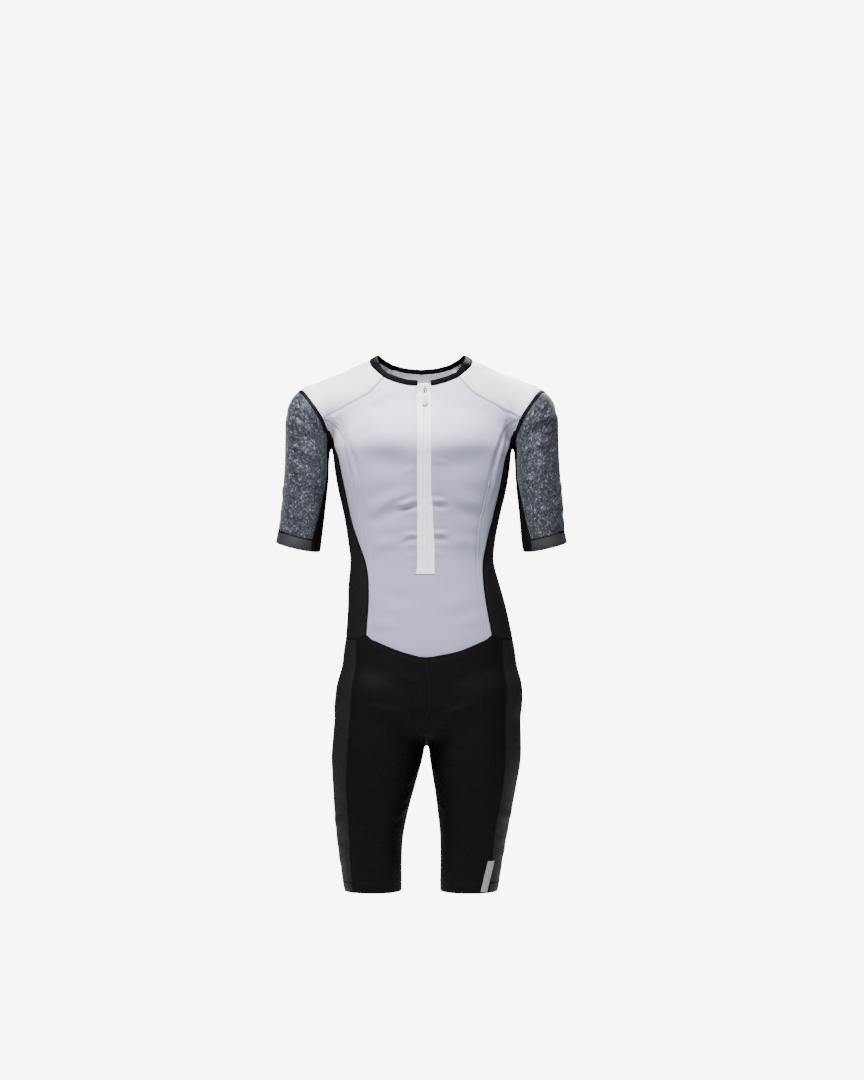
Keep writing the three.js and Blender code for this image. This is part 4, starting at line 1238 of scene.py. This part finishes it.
def make_sleeve(side, tag):
    s = SEAMS[tag]
    hole, ring = sleeve_rings(side, s)

    def crown(points):
        return 0.9 * np.ones(len(points))

    cloth_panel(
        "armhole_band_" + tag, [between(hole, ring, 4)], FINISHES["band"],
        dip=1.4, shape=crown,
    )
    top = np.concatenate([ring[UNDER_FRONT * FINE:20 * FINE], ring[:UNDER_BACK * FINE + 1]])
    under_top = ring[UNDER_BACK * FINE:UNDER_FRONT * FINE + 1]

    def seam_down(start, sign):
        return line(
            [start, around_arm(side, sign * 163, -205), around_arm(side, sign * 150, -252),
             around_arm(side, sign * 137, -300), around_hem(side, sign * OPEN_TURN, CUFF_HEIGHT)], 7
        )

    front_seam, back_seam = seam_down(top[0], 1), seam_down(top[-1], -1)
    steps = len(top) - 1
    cuff_top = hem_line(side, CUFF_HEIGHT, OPEN_TURN, -OPEN_TURN, steps)
    cuff_hem = hem_line(side, 0, OPEN_TURN, -OPEN_TURN, steps)
    cuff_top[0], cuff_top[-1] = front_seam[-1], back_seam[-1]
    cloth_panel(
        "sleeve_" + tag, [patch(top, cuff_top, front_seam, back_seam)], FINISHES["printed"]
    )
    low, high = cuff_hem[:, 2].mean(), cuff_top[:, 2].mean()

    def flare(points):
        outside = np.clip((side * (points[:, 0] - middle(points[:, 2])) - 200) / 50, 0, 1)
        down = np.clip((high - points[:, 2]) / (high - low), 0, 1.2)
        return 0.5 + CUFF_FLARE * outside**1.5 * down**1.3

    cuff = between(cuff_top, cuff_hem, FINE)
    cloth_panel(
        "cuff_" + tag, [cuff], FINISHES["cuff"], wall=1.5, dip=0.8, shape=flare
    )
    under_hem = hem_line(side, 0, -OPEN_TURN, OPEN_TURN - 360, 4 * FINE)
    under_hem[0], under_hem[-1] = cuff_hem[-1], cuff_hem[0]
    front_down = chain(front_seam, cuff[:, 0])
    back_down = chain(back_seam, cuff[:, -1])
    cloth_panel(
        "sleeve_under_" + tag, [patch(under_top, under_hem, back_down, front_down)],
        FINISHES["black"],
    )
    return {"cuff": cuff_top, "front_hem": front_down, "back_hem": back_down}


def make_binding(left, right):
    def half(s):
        return chain(s["neck_front"], s["neck_side"], s["neck_back"])

    edge = evened(chain(half(left), half(right)[::-1]), STRIP_STEP)
    out = normals_at(edge)
    up = np.cross(along(edge), out)
    up[up[:, 2] < 0] *= -1
    up /= np.linalg.norm(up, axis=1, keepdims=True)
    bm = bmesh.new()
    reach = (edge[:, 0].max() - edge[:, 0].min()) / 2
    aside = np.abs(edge[:, 0] - edge[:, 0].min() - reach)
    taller = 1 + 0.5 * np.exp(-(((aside - reach) / 13) ** 2))
    section = rounded_section(BINDING_HEIGHT / 2, 1.35, BINDING_HEIGHT / 2 - 0.6, -0.2, steps=20, square=2.6)
    tube_along(bm, edge, up * taller[:, None], out, section)
    finish_piece(bm, "neck_binding_fold", FINISHES["binding"], "neck_binding")


TAPE_TOP = -46.0
# how far the facing on the wearer's left laps over the front, by depth below the frame's origin
TAPE_FLAP = ((244, 262, 300, 336), (0, 2.6, 4.0, 6.0))
TAPE_COLUMNS = 14


def make_zip():
    across = np.linspace(0, 1, TAPE_COLUMNS + 1)
    for tag, side in SIDES:
        edge = chain(SEAMS[tag]["zip_chest"], SEAMS[tag]["zip_belly"])
        edge = edge[edge[:, 2] < TAPE_TOP]
        wider = np.interp(-edge[:, 2], *TAPE_FLAP) if side > 0 else 0
        grid = cast(
            ZIP_X + (edge[:, 0] - ZIP_X + wider)[:, None] * across[None],
            np.repeat(edge[:, 2:], TAPE_COLUMNS + 1, axis=1), -1,
        )

        def tape_shape(points):
            off = np.abs(points[:, 0] - ZIP_X)
            chain_ridge = 0.55 * np.exp(-(((off - 3.4) / 1.9) ** 2))
            parting = -0.9 * np.exp(-((off / 0.8) ** 2))
            fold = 0.5 * np.exp(-(((off - 10.2) / 1.1) ** 2))
            flap = 1.1 * np.clip((off - ZIP_HALF + 1.5) / 2.5, 0, 1)
            return chain_ridge + parting + fold + flap

        cloth_panel(
            "zip_tape_" + tag, [grid], FINISHES["tape"], dip=0.15, shape=tape_shape
        )


COIL_PITCH = 2.2


def make_coil():
    """The zip's coil, behind the tapes: small turns that lock from either side in turn."""
    low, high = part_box("zip_chain")
    count = int((high.z - low.z) / MM / COIL_PITCH - 4)
    heights = low.z / MM + (np.arange(count) + 0.5) * COIL_PITCH
    spots = cast(np.full(count, ZIP_X), heights, -1)
    outs = normals_at(spots)
    bm = bmesh.new()
    for spot, out in zip(spots - outs * (CLOTH + 1.35), outs):
        for hand in (-1, 1):
            turn = bmesh.ops.create_uvsphere(bm, u_segments=8, v_segments=5, radius=1.0)
            centre = spot + np.array([hand * 1.25, 0, hand * COIL_PITCH / 4])
            size = Matrix.Diagonal((2.0 * MM, 0.62 * MM, 0.5 * MM, 1.0))
            lean = Matrix.Rotation(math.atan2(out[2], -out[1]), 4, "X")
            bmesh.ops.transform(bm, matrix=Matrix.Translation(centre * MM) @ lean @ size, verts=turn["verts"])
    finish_piece(bm, "zip_coil", FINISHES["coil"], "zip_chain")


def patch_on_zip(across, start, end, rows, columns):
    """Rows of places on the front, with widths given for each share down."""
    z = np.linspace(start, end, rows + 1)
    x = np.array([np.interp(np.linspace(0, 1, columns + 1), [0, 1], across((z[0] - level) / (z[0] - z[-1])))
                  for level in z])
    return cast(ZIP_X + x, z[:, None], -1)


GARAGE_REACH = (-45.5, -50.2)  # top and foot of the stop over the slider


def make_zip_ends():
    foot = patch_on_zip(
        lambda share: (-14 - 4.5 * max(0, 4 * share - 3), 17.5 + 4 * max(0, 4 * share - 3)),
        ZIP_BOTTOM + 7, ZIP_BOTTOM - 1, 8, 22
    )
    cloth_panel("zip_foot_patch", [foot], FINISHES["tape"], lift=1.15, wall=0.9, dip=0.5)
    stop = patch_on_zip(lambda share: (-11.5, 9), *GARAGE_REACH, 6, 18)
    cloth_panel("zip_garage", [stop], FINISHES["tape"], lift=1.5, wall=1.8, dip=0.9)


REFLECTIVE_FROM, REFLECTIVE_TO = (117, -896), (104, -951)  # x and height of the strip's two ends
REFLECTIVE_HALF = 6


def make_reflective_strip():
    x, z = np.linspace(REFLECTIVE_FROM, REFLECTIVE_TO, 25).T
    across = np.linspace(-REFLECTIVE_HALF, REFLECTIVE_HALF, 9)
    grid = cast(x[:, None] + across[None], np.repeat(z[:, None], 9, axis=1), -1)
    cloth_panel(
        "reflective_strip", [grid], FINISHES["film"], lift=0.75, wall=0.5, dip=0.3
    )


# ---------- the slider and its pull ----------
def zip_frame():
    """The slider's own axes: x across, y up the zip, z out of the cloth."""
    spot = cast(ZIP_X, SLIDER_Z, -1)
    out = normals_at(spot)
    out[0] = 0
    out /= np.linalg.norm(out)
    up = np.array([0, out[2], -out[1]])
    turn = Matrix(((1, up[0], out[0]), (0, up[1], out[1]), (0, up[2], out[2]))).to_4x4()
    return Matrix.Translation(spot * MM) @ turn


def plate(bm, outline, bottom, thickness, holes=(), edge=0.3):
    """A plate with softened edges: its outline in the zip's plane, its thickness out of it."""
    rims = []
    for places in (outline, *holes):
        corners = [bm.verts.new((x * MM, y * MM, bottom * MM)) for x, y in places]
        rims += [bm.edges.new((corners[k - 1], corners[k])) for k in range(len(corners))]
    face = bmesh.ops.triangle_fill(bm, edges=rims, use_beauty=True, use_dissolve=True)
    flat = [g for g in face["geom"] if isinstance(g, bmesh.types.BMFace)]
    risen = bmesh.ops.extrude_face_region(bm, geom=flat)
    top = [g for g in risen["geom"] if isinstance(g, bmesh.types.BMVert)]
    bmesh.ops.translate(bm, verts=top, vec=(0, 0, thickness * MM))
    bmesh.ops.recalc_face_normals(bm, faces=list(bm.faces))
    sharp = [e for e in bm.edges if len(e.link_faces) == 2 and e.calc_face_angle(0) > 1.0]
    bmesh.ops.bevel(bm, geom=sharp, offset=edge * MM, segments=3, profile=0.5, affect="EDGES", material=-1)


TAB_LENGTH, TAB_WIDTH, TAB_TILT = 30.0, 11.0, -0.045


def make_slider(frame_of_zip):
    bm = bmesh.new()
    nose = [(4.2 * math.cos(a), 1.2 + 3.6 * math.sin(a)) for a in np.linspace(0.15, math.pi - 0.15, 9)]
    body = [(-2.7, -5.0), (2.7, -5.0), (3.5, -3.4)] + nose + [(-3.5, -3.4)]
    plate(bm, body, 0.5, 1.6, edge=0.4)
    bail = bmesh.new()
    arch = [(-3.8, 1.9), (-3.8, 4.2), (-3.0, 5.3), (3.0, 5.3), (3.8, 4.2), (3.8, 1.9),
            (2.5, 1.9), (2.5, 4.1), (-2.5, 4.1), (-2.5, 1.9)]
    plate(bail, arch, -1.0, 2.0, edge=0.35)
    # the arch stands across the plate: its outline turns to (up the zip, out of the cloth)
    stand = Matrix(((0, 0, 1), (1, 0, 0), (0, 1, 0))).to_4x4()
    bmesh.ops.transform(bail, matrix=stand, verts=list(bail.verts))
    spare = bpy.data.meshes.new("bail")
    bail.to_mesh(spare)
    bail.free()
    bm.from_mesh(spare)
    bpy.data.meshes.remove(spare)
    bmesh.ops.transform(bm, matrix=frame_of_zip, verts=list(bm.verts))
    finish_piece(bm, "zip_slider_cast", FINISHES["metal"], "zip_slider")


def make_tab(frame_of_zip):
    bm = bmesh.new()
    r = TAB_WIDTH / 2
    turns = np.linspace(math.pi, math.tau, 17)
    end = [(r * math.cos(a), -TAB_LENGTH + r + r * math.sin(a)) for a in turns]
    left_side = [(3.1, 0.5), (-3.1, 0.5), (-3.2, -8), (-4.2, -10.5), (-r, -13)]
    outline = left_side + end + [(r, -13), (4.2, -10.5), (3.2, -8)]
    eye = [(-1.5, -0.7), (1.5, -0.7), (1.5, -7.7), (-1.5, -7.7)]
    plate(bm, outline, -0.55, 1.1, holes=[eye], edge=0.32)
    # raised grip ribs across the wide end
    for k in range(5):
        rib = bmesh.ops.create_cube(bm, size=1.0)
        y = -14.5 - 2.4 * k
        size = Matrix.Diagonal((6.6 * MM, 0.9 * MM, 0.6 * MM, 1.0))
        spot = Matrix.Translation((0, y * MM, 0.6 * MM))
        bmesh.ops.transform(bm, matrix=spot @ size, verts=rib["verts"])
        edges = list({e for v in rib["verts"] for e in v.link_edges})
        bmesh.ops.bevel(
            bm, geom=edges, offset=0.22 * MM, segments=2, profile=0.5, affect="EDGES", material=-1
        )
    hang = Matrix.Translation((0, -1.2 * MM, 3.35 * MM)) @ Matrix.Rotation(TAB_TILT, 4, "X")
    bmesh.ops.transform(bm, matrix=frame_of_zip @ hang, verts=list(bm.verts))
    finish_piece(bm, "pull_tab_rubber", FINISHES["rubber"], "pull_tab", body="pull")


# ---------- stitching ----------
def row_above(line_below, rise):
    """A line that runs a little above a hem."""
    return settle(line_below + np.array([0, 0, rise]))


LEG_HEM_RISE = 18  # mm from a leg's edge up to the row that holds its hem


def make_stitching(sleeve_lines):
    for tag, _ in SIDES:
        s = SEAMS[tag]
        lines = sleeve_lines[tag]
        light = [s["yoke"], s["back_yoke"], chain(s["princess_high"], s["princess_low"][:-4])]
        stitching("pale_stitching_" + tag, light, FINISHES["pale_thread"], lift=0.2)
        hem_of_leg = [row_above(s[name], LEG_HEM_RISE) for name in ("hem_front", "hem_side", "hem_back")]
        waist = chain(*(s["waist_" + part] for part in (
            "slot", "front", "strip", "corner", "side", "back_corner", "back"
        )))
        dark = [
            s["strip"], s["back_side"], waist,
            chain(s["leg_front_high"], s["leg_front_low"]), chain(s["leg_back_high"], s["leg_back_low"]),
            s["inseam"], lines["front_hem"], lines["back_hem"], lines["cuff"],
        ]
        stitching("dark_stitching_" + tag, dark, FINISHES["dark_thread"])
        stitching(
            "hem_stitching_" + tag, hem_of_leg, FINISHES["dark_thread"], width=3.4, lift=0.75
        )
    middle_seams = [SEAMS["left"]["centre_front"], SEAMS["left"]["centre_back"]]
    stitching("middle_stitching", middle_seams, FINISHES["dark_thread"])


# ---------- sizes as cut ----------
# each panel's cut width, length and area on the table, before it stretches to the figure: the areas
# come from the finished surface, the widths and lengths are estimates
CUTS = {
    "front_panel": (0.262, 0.450, 0.0932), "back_panel": (0.330, 0.440, 0.1042),
    "shoulder": (0.169, 0.172, 0.0215), "side_strip": (0.029, 0.376, 0.0078),
    "side_panel": (0.134, 0.350, 0.0383), "shorts_front": (0.190, 0.440, 0.0592),
    "shorts_back": (0.196, 0.468, 0.0632), "leg_side": (0.152, 0.430, 0.0595),
    "sleeve": (0.300, 0.204, 0.0466), "sleeve_under": (0.062, 0.176, 0.0080),
    "cuff": (0.255, 0.0215, 0.0036), "armhole_band": (0.340, 0.0105, 0.0022),
    "zip_tape": (0.0150, 0.342, 0.0048),
}
SEWN_TO = {
    "front_panel": ("neck_binding_fold", "zip_foot_patch_cloth", "zip_garage_cloth"),
    "shoulder": ("pale_stitching",), "shorts_front": ("dark_stitching",), "leg_side": ("hem_stitching",),
}
MIDDLE_PANELS = ("front_panel", "back_panel")  # every other panel is made twice, left and right


def declare_cuts():
    """Goes through the panels in the table of cuts and finds the pieces sewn to each; their cut sizes are
    read but not used.
    """
    for name, (width, length, area) in CUTS.items():
        for tag in [""] if name in MIDDLE_PANELS else ["_left", "_right"]:
            sewn = [bpy.data.objects[part + tag] for part in SEWN_TO.get(name, ())]
            if name == "shorts_front" and tag == "_left":
                sewn.append(bpy.data.objects["middle_stitching"])


# ---------- studio ----------
BACKDROP = (0.975, 1.0, 1.0, 1)
BACKDROP_LEVEL = 8.0
FILL_LEVEL = 0.075


def make_studio():
    world = bpy.data.worlds.new("pale_studio")
    world.use_nodes = True
    tree = world.node_tree
    tree.nodes.clear()
    seen = place(tree, "ShaderNodeBackground", {"Color": BACKDROP, "Strength": BACKDROP_LEVEL})
    lit = place(tree, "ShaderNodeBackground", {"Color": (0.96, 0.97, 1.0, 1), "Strength": FILL_LEVEL})
    path = place(tree, "ShaderNodeLightPath")
    both = place(
        tree, "ShaderNodeMixShader",
        {0: path.outputs["Is Camera Ray"], 1: lit.outputs[0], 2: seen.outputs[0]},
    )
    place(tree, "ShaderNodeOutputWorld", {"Surface": both.outputs[0]})
    bpy.context.scene.world = world

    floor_paint = bpy.data.materials.new("pale_floor")
    floor_paint.use_nodes = True
    tree = floor_paint.node_tree
    tree.nodes.clear()
    matt = place(tree, "ShaderNodeBsdfDiffuse", {"Color": (0.8, 0.81, 0.82, 1)})
    glow = place(tree, "ShaderNodeEmission", {"Color": BACKDROP, "Strength": BACKDROP_LEVEL})
    path = place(tree, "ShaderNodeLightPath")
    both = place(
        tree, "ShaderNodeMixShader",
        {0: path.outputs["Is Camera Ray"], 1: matt.outputs[0], 2: glow.outputs[0]},
    )
    place(tree, "ShaderNodeOutputMaterial", {"Surface": both.outputs[0]})
    bm = bmesh.new()
    bmesh.ops.create_circle(bm, cap_ends=True, segments=96, radius=FLOOR_REACH)
    bmesh.ops.translate(bm, verts=list(bm.verts), vec=(0, 0, FLOOR_Z))
    mesh = bpy.data.meshes.new("studio_floor")
    bm.to_mesh(mesh)
    bm.free()
    mesh.materials.append(floor_paint)
    floor = bpy.data.objects.new("studio_floor", mesh)
    bpy.context.scene.collection.objects.link(floor)


FLOOR_Z = -1.5
FLOOR_REACH = 30.0
LAMPS = (
    # name, place, what it looks at, size, watts, colour
    ("key_above", (-0.35, -1.0, 1.55), (0, 0, -0.2), 0.8, 180, (1.0, 0.995, 0.985)),
    ("fill_front", (0.4, -4.6, 1.2), (0, 0, -0.5), 2.2, 40, (0.95, 0.96, 1.0)),
    ("fill_left", (-3.4, -1.2, 0.2), (0, 0, -0.4), 1.8, 9, (0.95, 0.965, 1.0)),
    ("fill_right", (3.4, -1.0, 0.4), (0, 0, -0.4), 1.8, 7, (0.96, 0.97, 1.0)),
    ("key_behind", (0.5, 1.6, 1.7), (0, 0, -0.25), 1.0, 130, (1.0, 1.0, 1.0)),
)


def look_from(place_m, target):
    """The turn that points an object's -Z at a target with its +Y up."""
    return (Vector(target) - Vector(place_m)).to_track_quat("-Z", "Y").to_euler()


def make_lights():
    for name, place_m, target, size, watts, colour in LAMPS:
        lamp = bpy.data.lights.new(name, "AREA")
        lamp.shape = "DISK"
        lamp.size = size
        lamp.energy = watts
        lamp.color = colour
        made = bpy.data.objects.new(name, lamp)
        made.location = place_m
        made.rotation_euler = look_from(place_m, target)
        bpy.context.scene.collection.objects.link(made)


CAMERA_PLACE = (0.0117, -5.0, -0.324)
CAMERA_LENS = 61.7


def make_camera():
    lens = bpy.data.cameras.new("studio_camera")
    lens.sensor_fit = "VERTICAL"
    lens.sensor_height = 24.0
    lens.lens = CAMERA_LENS
    camera = bpy.data.objects.new("studio_camera", lens)
    camera.location = CAMERA_PLACE
    camera.rotation_euler = (math.pi / 2, 0, 0)
    bpy.context.scene.collection.objects.link(camera)
    bpy.context.scene.camera = camera


# ---------- making it all ----------
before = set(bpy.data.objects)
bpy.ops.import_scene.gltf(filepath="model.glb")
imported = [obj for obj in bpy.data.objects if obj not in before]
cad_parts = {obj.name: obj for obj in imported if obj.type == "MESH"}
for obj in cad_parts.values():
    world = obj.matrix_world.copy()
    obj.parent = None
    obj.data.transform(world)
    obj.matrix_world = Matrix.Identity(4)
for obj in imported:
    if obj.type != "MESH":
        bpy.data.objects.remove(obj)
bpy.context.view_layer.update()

make_camera()
make_lights()
make_studio()

GROUPS = {
    "knit": knit_group(), "softness": softness_group(), "seam": seam_shade_group(),
    "thread": thread_group(), "speckle": speckle_group(),
}
# the colour of the painted shade below the chest
CHEST_PAINTED_SHADE = (0.30, 0.30, 0.42)
FINISHES = {
    "white": knit("lavender_white_knit", (0.60, 0.60, 0.77), (0.50, 0.495, 0.67), 0.5, mesh=CHEST_PAINTED_SHADE),
    "back": knit("back_white_knit", (0.46, 0.46, 0.55), (0.38, 0.38, 0.46), 0.5, mesh=CHEST_PAINTED_SHADE),
    "yoke": knit("yoke_white_knit", (0.74, 0.74, 0.83), (0.62, 0.62, 0.74), 0.52),
    # the strip's mesh colour is painted shade below the chest as well
    "strip": knit("strip_white_knit", (0.46, 0.46, 0.56), (0.37, 0.37, 0.47), 0.52, mesh=(0.30, 0.30, 0.41)),
    "black": knit(
        "black_knit", (0.0034, 0.0029, 0.0031), (0.0022, 0.0019, 0.0020), 0.6, sheen=0.0, level=0.07
    ),
    # lighter than the black: partly the side panel's own grey, partly painted sheen from the side lights
    "charcoal": knit(
        "charcoal_knit", (0.0066, 0.0064, 0.0066), (0.0044, 0.0043, 0.0045), 0.5, sheen=0.0, level=0.12
    ),
    # lighter than the black: partly the leg side panel's own grey, partly painted sheen from the side lights
    "leg_side": knit(
        "leg_side_knit_and_sheen", (0.0088, 0.0086, 0.0090), (0.0060, 0.0058, 0.0062), 0.48, sheen=0.0, level=0.14
    ),
    "band": knit(
        "armhole_black_knit", (0.0030, 0.0030, 0.0044), (0.002, 0.002, 0.003), 0.6, sheen=0.0, level=0.08
    ),
    "cuff": knit(
        "charcoal_cuff_rib", (0.017, 0.0185, 0.021), (0.011, 0.012, 0.014), 0.6, wale=0.0022,
        course=0.0009, depth=0.0003, sheen=0.04, level=0.25
    ),
    "binding": knit(
        "neck_binding_rib", (0.0018, 0.0018, 0.0022), (0.0012, 0.0012, 0.0016), 0.62, wale=0.0016,
        depth=0.0002, sheen=0.0, level=0.04
    ),
    "printed": printed_knit(),
    # the pale thread is darker than the white panels: its own grey, with the painted shadow of the seam in it
    "pale_thread": cover_thread("pale_cover_thread", (0.34, 0.34, 0.44), (0.24, 0.24, 0.33), 0.1, 0.3),
    "dark_thread": cover_thread(
        "dark_cover_thread", (0.0050, 0.0050, 0.0054), (0.001, 0.001, 0.001), 0.0, 0.06
    ),
    "tape": woven_tape(),
    "coil": cover_thread("zip_coil_nylon", (0.74, 0.74, 0.78), (0.6, 0.6, 0.66), 0.0, 0.4),
    "film": reflective_film(),
    "metal": cast_metal(),
    "rubber": moulded_rubber(),
}
FOLDS = all_folds()
SEAMS = {tag: seams_of(side) for tag, side in SIDES}

make_torso(SEAMS["left"], SEAMS["right"])
make_shorts()
sleeve_lines = {tag: make_sleeve(side, tag) for tag, side in SIDES}
make_binding(SEAMS["left"], SEAMS["right"])
make_zip()
make_zip_ends()
make_reflective_strip()
make_coil()
zip_axes = zip_frame()
make_slider(zip_axes)
make_tab(zip_axes)
make_stitching(sleeve_lines)

declare_cuts()
